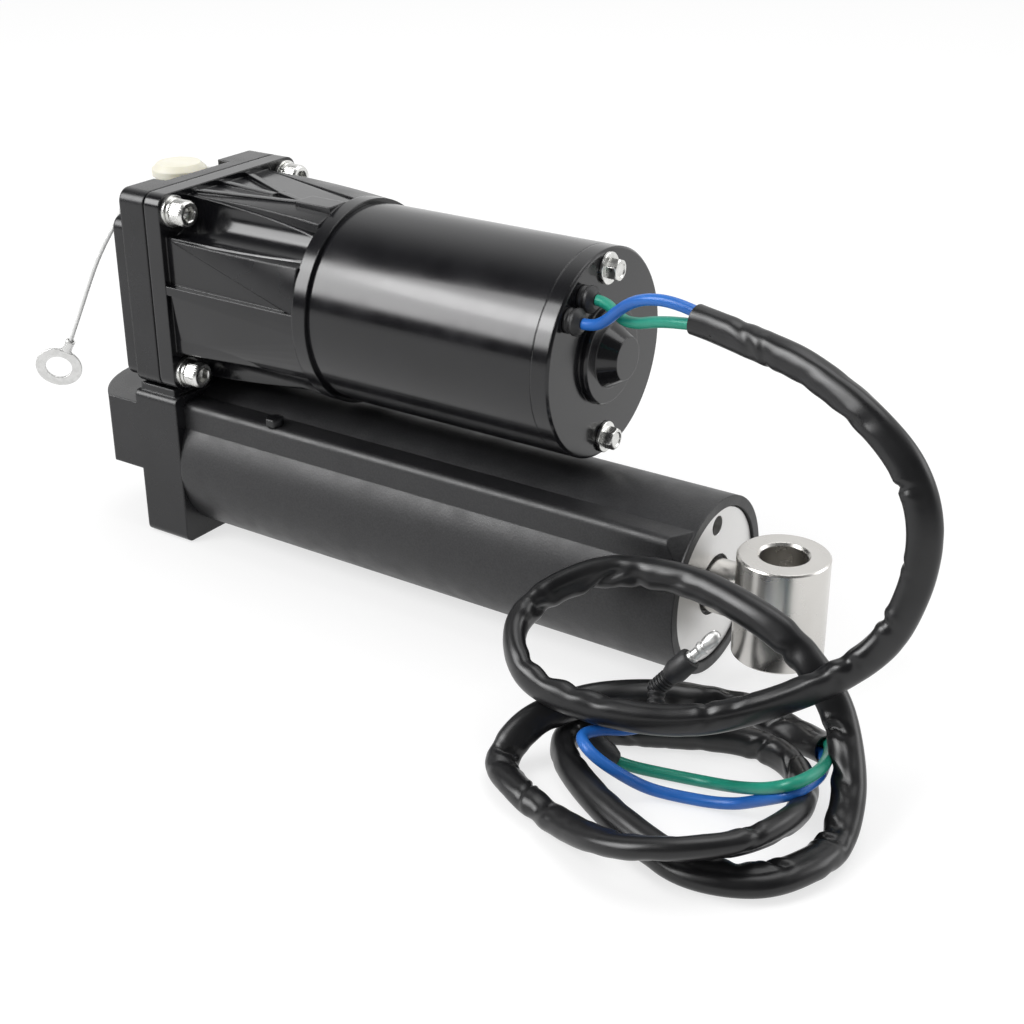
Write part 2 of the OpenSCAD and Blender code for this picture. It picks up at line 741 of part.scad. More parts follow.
module release_valve_ring() color(rubber)
    translate([valve_x, side_y, valve_z]) rotate([-90, 0, 0]) difference() {
        translate([0, 0, -valve_ring_in - valve_ring_w + run_gap])
            cylinder(r = valve_r, h = valve_ring_w - 2 * run_gap);
        translate([0, 0, -valve_ring_in - valve_ring_w - over])
            cylinder(r = valve_r - valve_ring_w + run_gap, h = valve_ring_w + 2 * over);
    }

module shuttle_spool() color(steel)
    translate([valve_x, spool_y, spool_z]) rotate([-90, 0, 0]) rotate_extrude()
        polygon([[0, -spool_l / 2], [spool_r, -spool_l / 2], [spool_r, -spool_l / 2 + spool_land],
            [spool_waist_r, -spool_l / 2 + spool_land], [spool_waist_r, spool_l / 2 - spool_land],
            [spool_r, spool_l / 2 - spool_land], [spool_r, spool_l / 2], [0, spool_l / 2]]);

module spool_plug() color(zinc)
    translate([valve_x, side_y, spool_z]) rotate([-90, 0, 0]) {
        translate([0, 0, -spool_plug_l]) cylinder(r = spool_plug_r, h = spool_plug_l);
        cylinder(d = spool_plug_af / cos(30), h = spool_plug_head, $fn = 6);
    }

module filler_plug() color(nylon)
    translate([filler_x, filler_y, filler_top]) {
        rotate_extrude() polygon([[0, -nylon_stem_l], [filler_bore_r, -nylon_stem_l], [filler_bore_r, 0],
            [nylon_neck_r, 0], [nylon_neck_r, nylon_neck_h], [nylon_r - nylon_crown / 2, nylon_neck_h],
            [nylon_r, nylon_neck_h + nylon_crown / 2], [nylon_r, nylon_t - nylon_crown],
            [nylon_r - nylon_crown, nylon_t], [0, nylon_t]]);
    }

// Gear pump pieces

function inv_deg(a) = tan(a) * 180 / PI - a;
function half_tooth(r) = let (base = pitch_r * cos(pressure_a), a = acos(min(1, base / r)))
    90 / gear_teeth - backlash / 2 / pitch_r * 180 / PI + inv_deg(pressure_a) - inv_deg(a);
function flank(n = 5) = let (base = pitch_r * cos(pressure_a), low = max(base, root_r))
    [for (k = [0 : n]) let (r = low + (tip_r - low) * k / n) [r, half_tooth(r)]];
function polar(r, a) = [r * cos(a), r * sin(a)];

module gear_outline(turn) {
    f = flank();
    n = len(f);
    polygon([for (i = [0 : gear_teeth - 1]) let (at = turn + 360 * i / gear_teeth) each concat(
        [polar(root_r, at - f[0][1])], [for (q = f) polar(q[0], at - q[1])],
        [for (k = [n - 1 : -1 : 0]) polar(f[k][0], at + f[k][1])], [polar(root_r, at + f[0][1])])]);
}

module gear(turn, z) {
    translate([gear_x, motor_y, z]) rotate([90, 0, 90]) linear_extrude(gear_w) gear_outline(turn);
}

module pump_outline() {
    rounded_rect(pump_w, pump_h, pump_round);
}

module at_pump_screws(x) {
    for (s = [-1, 1], t = [-1, 1]) translate([x, motor_y + s * pump_screw_dy, pump_z + t * pump_screw_dz])
        children();
}

module pump_body() color(cast)
    difference() {
        translate([pump_x, motor_y, pump_z]) rotate([90, 0, 90]) linear_extrude(pump_l) pump_outline();
        x_rod(chamber_r, pump_x + pump_back_t, pump_x + pump_l + over, motor_y, motor_z);
        x_rod(chamber_r, pump_x + pump_back_t, pump_x + pump_l + over, motor_y, motor_z - centre_d);
        x_rod(journal_r + run_gap, pump_x + over, pump_x + pump_l, motor_y, motor_z);
        x_rod(journal_r + run_gap, pump_x + over, pump_x + pump_l, motor_y, motor_z - centre_d);
        for (s = [-1, 1]) x_rod(port_r, pump_x - over, pump_x + pump_l - over, motor_y + s * pitch_r, pump_z);
        at_pump_screws(pump_x - over) rotate([0, 90, 0]) cylinder(r = pump_screw_r, h = pump_l + 2 * over);
    }

module pump_cover() color(cast)
    difference() {
        x0 = pump_x + pump_l;
        translate([x0, motor_y, pump_z]) rotate([90, 0, 90]) linear_extrude(cover_plate_t) pump_outline();
        x_rod(journal_r + run_gap, x0 - over, x0 + cover_plate_t + over, motor_y, motor_z);
        x_rod(journal_r + run_gap, x0 - over, x0 + cover_plate_t - over, motor_y, motor_z - centre_d);
        at_pump_screws(x0 - over) rotate([0, 90, 0]) cylinder(r = pump_screw_r, h = cover_plate_t + 2 * over);
    }

module drive_gear() color(steel) {
    gear(0, motor_z);
    x_rod(journal_r, pump_x + over + free_gap, gear_shaft_end, motor_y, motor_z);
    translate([gear_shaft_end - over, motor_y - tongue_t / 2, motor_z - journal_r / 2])
        cube([tongue_l + over, tongue_t, journal_r]);
}

module idler_gear() color(steel) {
    // a gap faces the drive gear's tooth, or a tooth its gap, whatever the number of teeth
    step = 360 / gear_teeth;
    gear(90 + step / 2 + 270 % step, motor_z - centre_d);
    x_rod(journal_r, pump_x + over + free_gap, pump_x + pump_l + cover_plate_t - over - free_gap,
        motor_y, motor_z - centre_d);
}

module pump_screws() color(zinc) {
    x0 = pump_x + pump_l + cover_plate_t;
    at_pump_screws(pump_x) rotate([0, 90, 0]) cylinder(r = pump_screw_r, h = pump_l + cover_plate_t + over);
    at_pump_screws(x0) rotate([0, 90, 0]) difference() {
        cylinder(r = pump_screw_head_r, h = pump_screw_head_h);
        translate([0, 0, pump_screw_head_h / 2])
            cylinder(r = pump_screw_head_r / 2, h = pump_screw_head_h, $fn = 6);
    }
}

module pump_filter() color(steel)
    difference() {
        x0 = pump_x + pump_l + cover_plate_t;
        y = motor_y - pitch_r;
        x_rod(filter_r, x0, x0 + filter_l, y, pump_z - filter_r);
        x_rod(filter_r - filter_wall, x0 - over, x0 + filter_l - filter_wall, y, pump_z - filter_r);
    }

// Reservoir housing: a square casting drawn in to the round motor end

module housing_shape() {
    union() {
        slab(flange_x + gasket_t, body_x, housing_w, housing_w, corner_r);
        difference() {
            union() {
                hull() {
                    slab(body_x - over, body_x, 2 * panel_half, 2 * panel_half, panel_round, $fn = 40);
                    x_rod(body_end_r, ring_x - over, ring_x, motor_y, motor_z, $fn = 72);
                }
                lower_panels();
            }
            at_screws(body_x) rotate([0, 90, 0]) cylinder(r = groove_r, h = body_l + over);
        }
        x_rod(half_w, ring_x, can_x, motor_y, motor_z);
    }
}

// The lower half stands out to the flange's width and runs into the ring
module lower_panels() {
    hull() {
        translate([body_x + side_gap, motor_y - side_out, motor_z + step_z - step_h])
            cube([over, 2 * side_out, step_h]);
        translate([body_x + side_gap, motor_y - side_low_out, motor_z - side_low_z])
            cube([over, 2 * side_low_out, over]);
        intersection() {
            x_rod(side_out, ring_x - over, ring_x, motor_y, motor_z, $fn = 72);
            translate([ring_x - over, motor_y - half_w, motor_z - half_w])
                cube([over, housing_w, half_w + step_z]);
        }
    }
    translate([body_x - over, motor_y - side_out, motor_z + step_z - step_h])
        cube([side_gap + 2 * over, 2 * side_out, step_h]);
}

module fan_ribs() {
    z = motor_z + panel_half - 2 * over;
    for (k = [0 : len(fan_starts) - 1]) {
        a = fan_starts[k];
        b = fan_ends[k];
        translate([body_x + a[0], motor_y + a[1], z]) rotate([0, 0, atan2(b[1] - a[1], b[0] - a[0])])
            translate([0, -fan_w / 2, 0]) cube([norm(b - a), fan_w, fan_h + 2 * over]);
    }
    translate([body_x + pad_x0, motor_y + pad_y, z]) cube([body_l - pad_x0, pad_w, pad_h + 2 * over]);
}

module pump_housing() color(black)
    difference() {
        union() {
            housing_shape();
            intersection() {
                fan_ribs();
                slab(body_x - over, ring_x, housing_w, housing_w, corner_r);
            }
        }
        difference() {
            x_rod(cavity_r, flange_x - over, ring_x, motor_y, motor_z);
            at_bolts(can_x - boss_l) rotate([0, 90, 0]) cylinder(r = boss_r, h = boss_l);
        }
        x_rod(web_hole_r, ring_x - over, can_x + over, motor_y, motor_z);
        at_bolts(can_x - boss_l + over) rotate([0, 90, 0]) cylinder(r = bolt_r, h = boss_l);
        at_screws(flange_x - over) rotate([0, 90, 0]) cylinder(r = screw_r + free_gap, h = flange_t + 2 * over);
    }

module housing_gasket() color(rubber)
    difference() {
        slab(flange_x, flange_x + gasket_t, housing_w - over, housing_w - over, corner_r);
        x_rod(cavity_r, flange_x - over, flange_x + gasket_t + over, motor_y, motor_z);
        at_screws(flange_x - over) rotate([0, 90, 0]) cylinder(r = screw_r + free_gap, h = gasket_t + 2 * over);
    }

module housing_screws() color(zinc) {
    head_x = body_x + washer_t + lock_t;
    at_screws(flange_x - screw_grip) rotate([0, 90, 0])
        cylinder(r = screw_r, h = head_x - flange_x + screw_grip + over);
    at_screws(head_x) rotate([0, 90, 0]) difference() {
        cylinder(r = screw_head_r, h = screw_head_h);
        translate([0, 0, screw_head_h - socket_h])
            cylinder(d = socket_af / cos(30), h = socket_h + over, $fn = 6);
    }
}

module washer_set(x, r, t) {
    at_screws(x) rotate([0, 90, 0]) difference() {
        cylinder(r = r, h = t);
        translate([0, 0, -over]) cylinder(r = screw_r, h = t + 2 * over);
    }
}

module lock_washers() color(zinc) washer_set(body_x + washer_t, lock_r, lock_t);

module flat_washers() color(zinc) washer_set(body_x, washer_r, washer_t);

// Motor pieces

module motor_can() color(black)
    x_tube(can_r, can_in_r, can_x, cover_x, motor_y, motor_z);

module motor_end_cover() color(black)
    difference() {
        union() {
            lathe([[0, cover_x - spigot_t], [can_in_r, cover_x - spigot_t], [can_in_r, cover_x],
                [can_r, cover_x], [can_r, cover_end - cover_edge], [can_r - cover_edge, cover_end],
                [hub_r, cover_end], [hub_r, cover_end + hub_t - cover_edge],
                [hub_r - cover_edge, cover_end + hub_t], [cone_r0, cover_end + hub_t],
                [cone_r1, cover_end + hub_t + cone_l], [0, cover_end + hub_t + cone_l]], motor_y, motor_z);
        }
        x_rod(bearing_r, cover_x - spigot_t - over, rear_bearing_x + bearing_l, motor_y, motor_z);
        x_rod(shaft_r + free_gap, cover_x, rear_bearing_x + bearing_l + 2 * over, motor_y, motor_z);
        at_bolts(cover_x - spigot_t - over) rotate([0, 90, 0])
            cylinder(r = bolt_r, h = spigot_t + cover_t + 2 * over);
        for (g = [blue_grommet, green_grommet])
            x_rod(grommet_neck_r, cover_x - spigot_t - over, cover_end + over, motor_y + g[0], motor_z + g[1]);
    }

module drive_end_plate() color(cast)
    difference() {
        lathe([[shaft_r + free_gap, ring_x], [web_hole_r, ring_x], [web_hole_r, can_x], [can_in_r, can_x],
            [can_in_r, can_x + plate_flange_t], [shaft_r + free_gap, can_x + plate_flange_t]],
            motor_y, motor_z);
        x_rod(bearing_r, front_bearing_x, can_x + plate_flange_t + over, motor_y, motor_z);
        x_rod(shaft_seal_r, ring_x - over, shaft_seal_x + shaft_seal_l, motor_y, motor_z);
        at_bolts(can_x - over) rotate([0, 90, 0]) cylinder(r = bolt_r, h = plate_flange_t + 2 * over);
    }

module field_magnets() color(magnet) {
    x0 = core_x + core_l / 2 - magnet_l / 2;
    for (s = [0, 180]) translate([x0, motor_y, motor_z]) rotate([s, 0, 0]) rotate([90, 0, 90])
        rotate([0, 0, -magnet_span / 2]) linear_extrude(magnet_l) difference() {
            intersection() {
                circle(can_in_r);
                polygon([[0, 0], [2 * can_r, 0], 2 * can_r * [cos(magnet_span / 2), sin(magnet_span / 2)],
                    2 * can_r * [cos(magnet_span), sin(magnet_span)]]);
            }
            circle(core_r + magnet_gap);
        }
}

module armature_shaft() color(steel)
    difference() {
        x_rod(shaft_r, shaft_start, rear_bearing_x + bearing_l + over, motor_y, motor_z);
        translate([shaft_start - over, motor_y - tongue_t / 2 - run_gap, motor_z - shaft_r - over])
            cube([tongue_l + over, tongue_t + 2 * run_gap, 2 * shaft_r + 2 * over]);
    }

module core_slot_shape(inset) {
    for (k = [0 : core_slots - 1]) rotate(360 * k / core_slots) {
        translate([core_r - slot_deep + inset, -slot_w / 2 + inset])
            square([slot_deep - slot_lip - 2 * inset, slot_w - 2 * inset]);
        if (inset == 0) translate([core_r - slot_lip - over, -slot_mouth / 2]) square([slot_lip + 2 * over,
            slot_mouth]);
    }
}

module armature_core() color([0.45, 0.45, 0.47])
    translate([core_x, motor_y, motor_z]) rotate([90, 0, 90]) linear_extrude(core_l) difference() {
        circle(core_r);
        circle(shaft_r);
        core_slot_shape(0);
    }

module armature_windings() color(copper) {
    r0 = core_r - slot_deep;
    r1 = core_r - slot_lip - over;
    x_tube(r1, r0, core_x - winding_end, core_x, motor_y, motor_z);
    x_tube(r1, r0, core_x + core_l, core_x + core_l + winding_end, motor_y, motor_z);
    translate([core_x - over, motor_y, motor_z]) rotate([90, 0, 90]) linear_extrude(core_l + 2 * over)
        core_slot_shape(run_gap);
}

module commutator() color(copper)
    translate([comm_x, motor_y, motor_z]) rotate([90, 0, 90]) linear_extrude(comm_l) difference() {
        circle(comm_r);
        circle(shaft_r);
        for (k = [0 : core_slots - 1]) rotate(360 * k / core_slots)
            translate([comm_r - comm_groove, -comm_slot / 2]) square([comm_groove + over, comm_slot]);
    }

module at_brushes() {
    for (s = [0, 1]) translate([comm_x + comm_l / 2, motor_y, motor_z]) mirror([0, s, 0]) children();
}

module brush_holder() color([0.35, 0.22, 0.12]) {
    x0 = comm_x + comm_l / 2 - brush_w / 2 - holder_t;
    difference() {
        x_rod(can_in_r, x0, x0 + holder_t, motor_y, motor_z);
        x_rod(holder_r, x0 - over, x0 + holder_t + over, motor_y, motor_z);
        at_bolts(x0 - over) rotate([0, 90, 0]) cylinder(r = bolt_r + free_gap, h = holder_t + 2 * over);
    }
    at_brushes() for (t = [-1, 1]) translate([-brush_w / 2 - over, comm_r + run_gap + 5 * over,
        t * (brush_t / 2 + holder_rail / 2) - holder_rail / 2])
        cube([brush_w + over, brush_l + brush_spring_l - 5 * over, holder_rail]);
}

module brushes() color([0.2, 0.2, 0.2])
    at_brushes() translate([-brush_w / 2, 0, -brush_t / 2]) difference() {
        translate([0, comm_r / 2, 0]) cube([brush_w, brush_l + comm_r / 2, brush_t]);
        translate([brush_w / 2, 0, brush_t / 2]) rotate([0, 90, 0])
            cylinder(r = comm_r + run_gap, h = comm_l, center = true);
    }

module brush_springs() color(steel)
    at_brushes() translate([0, comm_r + brush_l, 0]) rotate([-90, 0, 0]) difference() {
        cylinder(r = brush_spring_r, h = brush_spring_l);
        translate([0, 0, -over]) cylinder(r = brush_spring_r - spring_wire, h = brush_spring_l + 2 * over);
    }

module ball_bearing(x0) {
    x1 = x0 + bearing_l;
    mid = (bearing_r + shaft_r) / 2;
    x_tube(bearing_r, bearing_r - bearing_race, x0, x1, motor_y, motor_z);
    x_tube(bearing_r - bearing_race, shaft_r + run_gap + bearing_race, x0 + over, x1 - over, motor_y, motor_z);
    x_tube(shaft_r + run_gap + bearing_race, shaft_r + run_gap, x0, x1, motor_y, motor_z);
}

module shaft_bearings() color(steel) {
    ball_bearing(front_bearing_x);
    ball_bearing(rear_bearing_x);
}

module shaft_seal() color(rubber)
    x_tube(shaft_seal_r, shaft_r + run_gap, shaft_seal_x, shaft_seal_x + shaft_seal_l, motor_y, motor_z);

module shaft_coupler() color(steel)
    difference() {
        x_rod(coupler_r, shaft_start - coupler_l / 2, shaft_start + coupler_l / 2, motor_y, motor_z);
        x_rod(shaft_r, shaft_start - coupler_l / 2 - over, shaft_start + coupler_l / 2 + over, motor_y, motor_z);
    }

module through_bolts() color(zinc) {
    at_bolts(can_x - boss_l + over) rotate([0, 90, 0])
        cylinder(r = bolt_r, h = cover_end - can_x + boss_l);
    at_bolts(cover_end) rotate([0, 90, 0]) difference() {
        union() {
            cylinder(r = bolt_washer_r, h = bolt_washer_t);
            cylinder(d = bolt_af / cos(30), h = bolt_washer_t + bolt_head_h, $fn = 6);
        }
        translate([0, 0, bolt_washer_t + bolt_head_h - bolt_washer_t / 2])
            cylinder(r = bolt_r, h = bolt_washer_t);
    }
}

module grommet(g) {
    lathe([[wire_d / 2, cover_x], [grommet_neck_r, cover_x], [grommet_neck_r, cover_end],
        [grommet_r, cover_end], [grommet_r, cover_end + grommet_l / 2],
        [grommet_neck_r, cover_end + grommet_l], [wire_d / 2, cover_end + grommet_l]],
        motor_y + g[0], motor_z + g[1]);
}

module wire_grommets() color(rubber) {
    grommet(blue_grommet);
    grommet(green_grommet);
}

// Cable pieces

module blue_lead() color(blue) tube_along(blue_lead_route, wire_d / 2);

module green_lead() color(green) tube_along(green_lead_route, wire_d / 2);

module cable_sleeve() color(rubber) tube_along(sleeve_route, sleeve_d / 2, 10);

module blue_tail() color(blue) tube_along(blue_tail_route, wire_d / 2);

module green_tail() color(green) tube_along(green_tail_route, wire_d / 2);

module bullet_boots() color(rubber) {
    ribs_l = 2 * boot_ribs * boot_rib_l;
    aimed(male_boot, male_dir) difference() {
        union() {
            for (k = [0 : boot_ribs - 1]) translate([0, 0, 2 * k * boot_rib_l])
                cylinder(r = boot_neck_r + boot_rib_h, h = boot_rib_l);
            cylinder(r = boot_neck_r, h = ribs_l);
            translate([0, 0, ribs_l]) cylinder(r1 = boot_neck_r, r2 = boot_r, h = boot_cone_l);
            translate([0, 0, ribs_l + boot_cone_l]) cylinder(r = boot_r, h = boot_l - ribs_l - boot_cone_l);
        }
        translate([0, 0, boot_l - crimp_l]) cylinder(r = crimp_r, h = crimp_l + over);
    }
    aimed(female_boot, female_dir) difference() {
        cylinder(r = boot_r, h = green_boot_l);
        translate([0, 0, green_boot_l - bullet_l]) cylinder(r = socket_r, h = bullet_l + over);
    }
}

module bullet_terminals() color(stainless) {
    aimed(male_boot, male_dir) translate([0, 0, boot_l - crimp_l]) {
        cylinder(r = crimp_r, h = 2 * crimp_l);
        translate([0, 0, 2 * crimp_l]) cylinder(r1 = bullet_waist_r, r2 = bullet_r, h = bullet_cone_l);
        translate([0, 0, 2 * crimp_l + bullet_cone_l]) cylinder(r = bullet_r, h = bullet_l - bullet_r);
        translate([0, 0, 2 * crimp_l + bullet_cone_l + bullet_l - bullet_r]) sphere(r = bullet_r);
    }
    aimed(female_boot, female_dir) translate([0, 0, green_boot_l - bullet_l]) difference() {
        cylinder(r = socket_r, h = bullet_l - spring_wire);
        translate([0, 0, spring_wire]) cylinder(r = socket_r - spring_wire, h = bullet_l);
    }
}

module ground_lead() color([0.8, 0.8, 0.78]) tube_along(ground_route, ground_d / 2, 6);

module ring_terminal() color(zinc) {
    along = unit(ring_dir);
    face = unit(ring_face - (ring_face * along) * along);
    side = cross(face, along);
    turn = [[side[0], along[0], face[0], ring_c[0]], [side[1], along[1], face[1], ring_c[1]],
        [side[2], along[2], face[2], ring_c[2]], [0, 0, 0, 1]];
    tongue_w = 2 * crimp_barrel_r;
    multmatrix(turn) {
        translate([0, 0, -ring_t / 2]) linear_extrude(ring_t) difference() {
            union() {
                circle(d = ring_d);
                translate([-tongue_w / 2, 0]) square([tongue_w, norm(ring_dir) - over]);
            }
            circle(d = ring_hole);
        }
        translate([0, norm(ring_dir), 0]) rotate([90, 0, 0])
            cylinder(r = crimp_barrel_r, h = crimp_barrel_l - over);
    }
}

base_block();
pivot_bushes();
cylinder_barrel();
passage_plug();
end_cap();
cap_o_ring();
rod_seal();
rod_wiper();
piston_rod();
rod_eye();
piston();
piston_seal();
piston_nut();
shock_balls();
shock_springs();
free_piston();
manifold_block();
back_plate();
back_plate_screws();
release_valve();
release_valve_ring();
shuttle_spool();
spool_plug();
pump_body();
pump_cover();
drive_gear();
idler_gear();
pump_screws();
pump_filter();
filler_plug();
pump_housing();
housing_gasket();
housing_screws();
lock_washers();
flat_washers();
motor_can();
motor_end_cover();
drive_end_plate();
field_magnets();
armature_shaft();
armature_core();
armature_windings();
commutator();
brush_holder();
brushes();
brush_springs();
shaft_bearings();
shaft_seal();
shaft_coupler();
through_bolts();
wire_grommets();
blue_lead();
green_lead();
cable_sleeve();
blue_tail();
green_tail();
bullet_boots();
bullet_terminals();
ground_lead();
ring_terminal();
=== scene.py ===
"""Looks of the power trim and tilt unit: camera, materials, cords, fasteners, floor and light.

Routes and ring profiles are in millimetres, and MM turns them into metres.
"""
import json
import math

import bpy
import bmesh
import numpy as np
from mathutils import Matrix, Vector, noise


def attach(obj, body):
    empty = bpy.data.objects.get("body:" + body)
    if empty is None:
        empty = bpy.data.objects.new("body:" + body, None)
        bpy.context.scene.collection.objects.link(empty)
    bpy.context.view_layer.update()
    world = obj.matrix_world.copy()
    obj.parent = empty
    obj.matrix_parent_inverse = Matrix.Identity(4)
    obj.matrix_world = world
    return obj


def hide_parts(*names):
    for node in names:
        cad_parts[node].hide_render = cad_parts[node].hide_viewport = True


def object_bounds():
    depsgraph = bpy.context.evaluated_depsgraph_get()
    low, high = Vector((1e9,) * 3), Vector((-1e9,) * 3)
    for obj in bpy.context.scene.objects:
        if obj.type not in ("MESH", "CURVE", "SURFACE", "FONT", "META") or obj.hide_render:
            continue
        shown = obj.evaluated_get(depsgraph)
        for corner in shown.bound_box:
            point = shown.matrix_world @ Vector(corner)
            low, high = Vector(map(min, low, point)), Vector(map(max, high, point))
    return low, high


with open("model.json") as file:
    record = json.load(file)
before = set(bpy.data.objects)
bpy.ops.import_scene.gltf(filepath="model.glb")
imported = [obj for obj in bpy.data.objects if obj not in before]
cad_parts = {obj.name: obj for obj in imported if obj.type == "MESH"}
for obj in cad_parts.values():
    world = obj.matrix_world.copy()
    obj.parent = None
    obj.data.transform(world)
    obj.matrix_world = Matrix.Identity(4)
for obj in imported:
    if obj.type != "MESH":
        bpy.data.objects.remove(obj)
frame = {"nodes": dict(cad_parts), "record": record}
CAD_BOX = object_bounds()
NODES = frame["nodes"]
MM = 0.001

# ---------------------------------------------------------------- camera
# fitted to the photograph: focal length in pixels, angles in radians, place in metres
F_PX, YAW, PITCH, ROLL = 1684.588, 2.164341, 0.446587, -0.003839
LOC = Vector((0.482390, -0.461535, 0.271978))
PHOTO_PX, SENSOR_MM = 1024, 36.0


def make_camera():
    """The photograph's camera, from its heading, its pitch down and its roll."""
    h = Vector((math.cos(YAW), math.sin(YAW), 0))
    fw = math.cos(PITCH) * h - math.sin(PITCH) * Vector((0, 0, 1))
    r = Vector((math.sin(YAW), -math.cos(YAW), 0))
    u = r.cross(fw)
    r2 = math.cos(ROLL) * r + math.sin(ROLL) * u
    u2 = -math.sin(ROLL) * r + math.cos(ROLL) * u
    data = bpy.data.cameras.new("camera")
    data.sensor_width = SENSOR_MM
    data.lens = F_PX / PHOTO_PX * SENSOR_MM
    data.clip_start, data.clip_end = 0.01, 50
    cam = bpy.data.objects.new("camera", data)
    m = Matrix.Identity(4)
    for i in range(3):
        m[i][0], m[i][1], m[i][2], m[i][3] = r2[i], u2[i], -fw[i], LOC[i]
    cam.matrix_world = m
    bpy.context.scene.collection.objects.link(cam)
    bpy.context.scene.camera = cam


make_camera()

# ---------------------------------------------------------------- materials
MATS = {}
COLOR_FROM, COLOR_TO = 0.35, 0.65  # the stretch of a noise over which a colour changes
ROUGH_FROM, ROUGH_TO = 0.3, 0.7  # and over which a roughness changes


class Mat:
    """A material kept in MATS under its name: noises vary its colour, roughness and height."""

    def __init__(self, name):
        self.m = bpy.data.materials.new(name)
        self.m.use_nodes = True
        self.t = self.m.node_tree
        self.b = self.t.nodes["Principled BSDF"]
        self.normal = None
        MATS[name] = self.m

    def node(self, kind, **inputs):
        n = self.t.nodes.new(kind)
        for k, v in inputs.items():
            n.inputs[k.replace("_", " ")].default_value = v
        return n

    def link(self, a, b):
        self.t.links.new(a, b)

    def set(self, **values):
        for k, v in values.items():
            self.b.inputs[k.replace("_", " ")].default_value = v
        return self

    def noise(self, scale, detail):
        n = self.node("ShaderNodeTexNoise", Scale=scale, Detail=detail, Roughness=0.5)
        self.link(self.node("ShaderNodeTexCoord").outputs["Object"], n.inputs["Vector"])
        return n.outputs["Fac"]

    def color(self, a, b, scale, detail=3):
        """The base colour goes from a to b with a noise."""
        r = self.node("ShaderNodeValToRGB")
        r.color_ramp.elements[0].position, r.color_ramp.elements[0].color = COLOR_FROM, (*a, 1)
        r.color_ramp.elements[1].position, r.color_ramp.elements[1].color = COLOR_TO, (*b, 1)
        self.link(self.noise(scale, detail), r.inputs["Fac"])
        self.link(r.outputs["Color"], self.b.inputs["Base Color"])
        return self

    def rough(self, a, b, scale, detail=3):
        """The roughness goes from a to b with a noise."""
        mr = self.node("ShaderNodeMapRange")
        mr.inputs["From Min"].default_value, mr.inputs["From Max"].default_value = ROUGH_FROM, ROUGH_TO
        mr.inputs["To Min"].default_value, mr.inputs["To Max"].default_value = a, b
        self.link(self.noise(scale, detail), mr.inputs["Value"])
        self.link(mr.outputs["Result"], self.b.inputs["Roughness"])
        return self

    def edges(self, radius):
        """Edges look rounded by a radius in metres."""
        bv = self.node("ShaderNodeBevel")
        bv.samples = 6
        bv.inputs["Radius"].default_value = radius
        self.normal = bv.outputs["Normal"]
        self.link(self.normal, self.b.inputs["Normal"])
        return self

    def bump(self, scale, depth, detail):
        """The surface rises and falls with a noise, by a depth in metres."""
        return self.raised(self.noise(scale, detail), depth)

    def raised(self, height, depth):
        bp = self.node("ShaderNodeBump", Strength=1.0, Distance=depth)
        self.link(height, bp.inputs["Height"])
        if self.normal is not None:
            self.link(self.normal, bp.inputs["Normal"])
        self.normal = bp.outputs["Normal"]
        self.link(self.normal, self.b.inputs["Normal"])
        return self


def rings_height(m, period):
    """Turning marks: rings about the X axis, which is the barrel's."""
    tc = m.node("ShaderNodeTexCoord")
    mul = m.node("ShaderNodeVectorMath")
    mul.operation = "MULTIPLY"
    mul.inputs[1].default_value = (0, 1, 1)
    m.link(tc.outputs["Object"], mul.inputs[0])
    ln = m.node("ShaderNodeVectorMath")
    ln.operation = "LENGTH"
    m.link(mul.outputs["Vector"], ln.inputs[0])
    comb = m.node("ShaderNodeCombineXYZ")
    m.link(ln.outputs["Value"], comb.inputs["X"])
    n = m.node("ShaderNodeTexNoise", Scale=1 / period, Detail=2.0, Roughness=0.6)
    m.link(comb.outputs["Vector"], n.inputs["Vector"])
    return n.outputs["Fac"]


m = Mat("black_gloss").set(IOR=1.47, Coat_Weight=0.1, Coat_Roughness=0.05, Coat_IOR=1.5)
m.color((0.005, 0.005, 0.006), (0.009, 0.009, 0.0105), 35).rough(0.13, 0.22, 70, 4)
m.edges(0.0008).bump(420, 4e-6, 3)
m = Mat("black_casting").set(IOR=1.45)
m.color((0.006, 0.006, 0.007), (0.011, 0.011, 0.0125), 45).rough(0.22, 0.32, 80, 4)
m.edges(0.0011).bump(900, 1.0e-5, 3)
m = Mat("black_satin").set(IOR=1.5)
m.color((0.010, 0.010, 0.011), (0.019, 0.019, 0.0205), 1400, 2).rough(0.38, 0.50, 120, 4)
m.edges(0.0007).bump(1500, 4.5e-5, 2)
m = Mat("stainless").set(Metallic=1.0)
m.color((0.58, 0.565, 0.54), (0.64, 0.625, 0.60), 40).rough(0.24, 0.30, 60, 3)
m.edges(0.0004).bump(600, 2.5e-7, 2)
m = Mat("aluminium").set(Metallic=1.0)
m.color((0.66, 0.655, 0.645), (0.72, 0.715, 0.705), 60).rough(0.36, 0.46, 120, 3)
m.edges(0.0003).raised(rings_height(m, 0.0006), 6e-6)
for nm, a, b, r0, r1, sc in (
    ("zinc_steel", (0.62, 0.62, 0.60), (0.78, 0.78, 0.76), 0.18, 0.36, 300),
    ("steel", (0.45, 0.45, 0.46), (0.56, 0.56, 0.57), 0.22, 0.38, 200),
    ("tinned", (0.64, 0.64, 0.63), (0.76, 0.76, 0.75), 0.36, 0.52, 400),
    ("iron", (0.28, 0.28, 0.29), (0.38, 0.38, 0.39), 0.4, 0.6, 500),
    ("copper", (0.72, 0.36, 0.18), (0.84, 0.48, 0.27), 0.25, 0.4, 300),
):
    m = Mat(nm).set(Metallic=1.0)
    m.color(a, b, sc).rough(r0, r1, sc, 4).edges(0.0003).bump(sc * 3, 6e-6, 3)
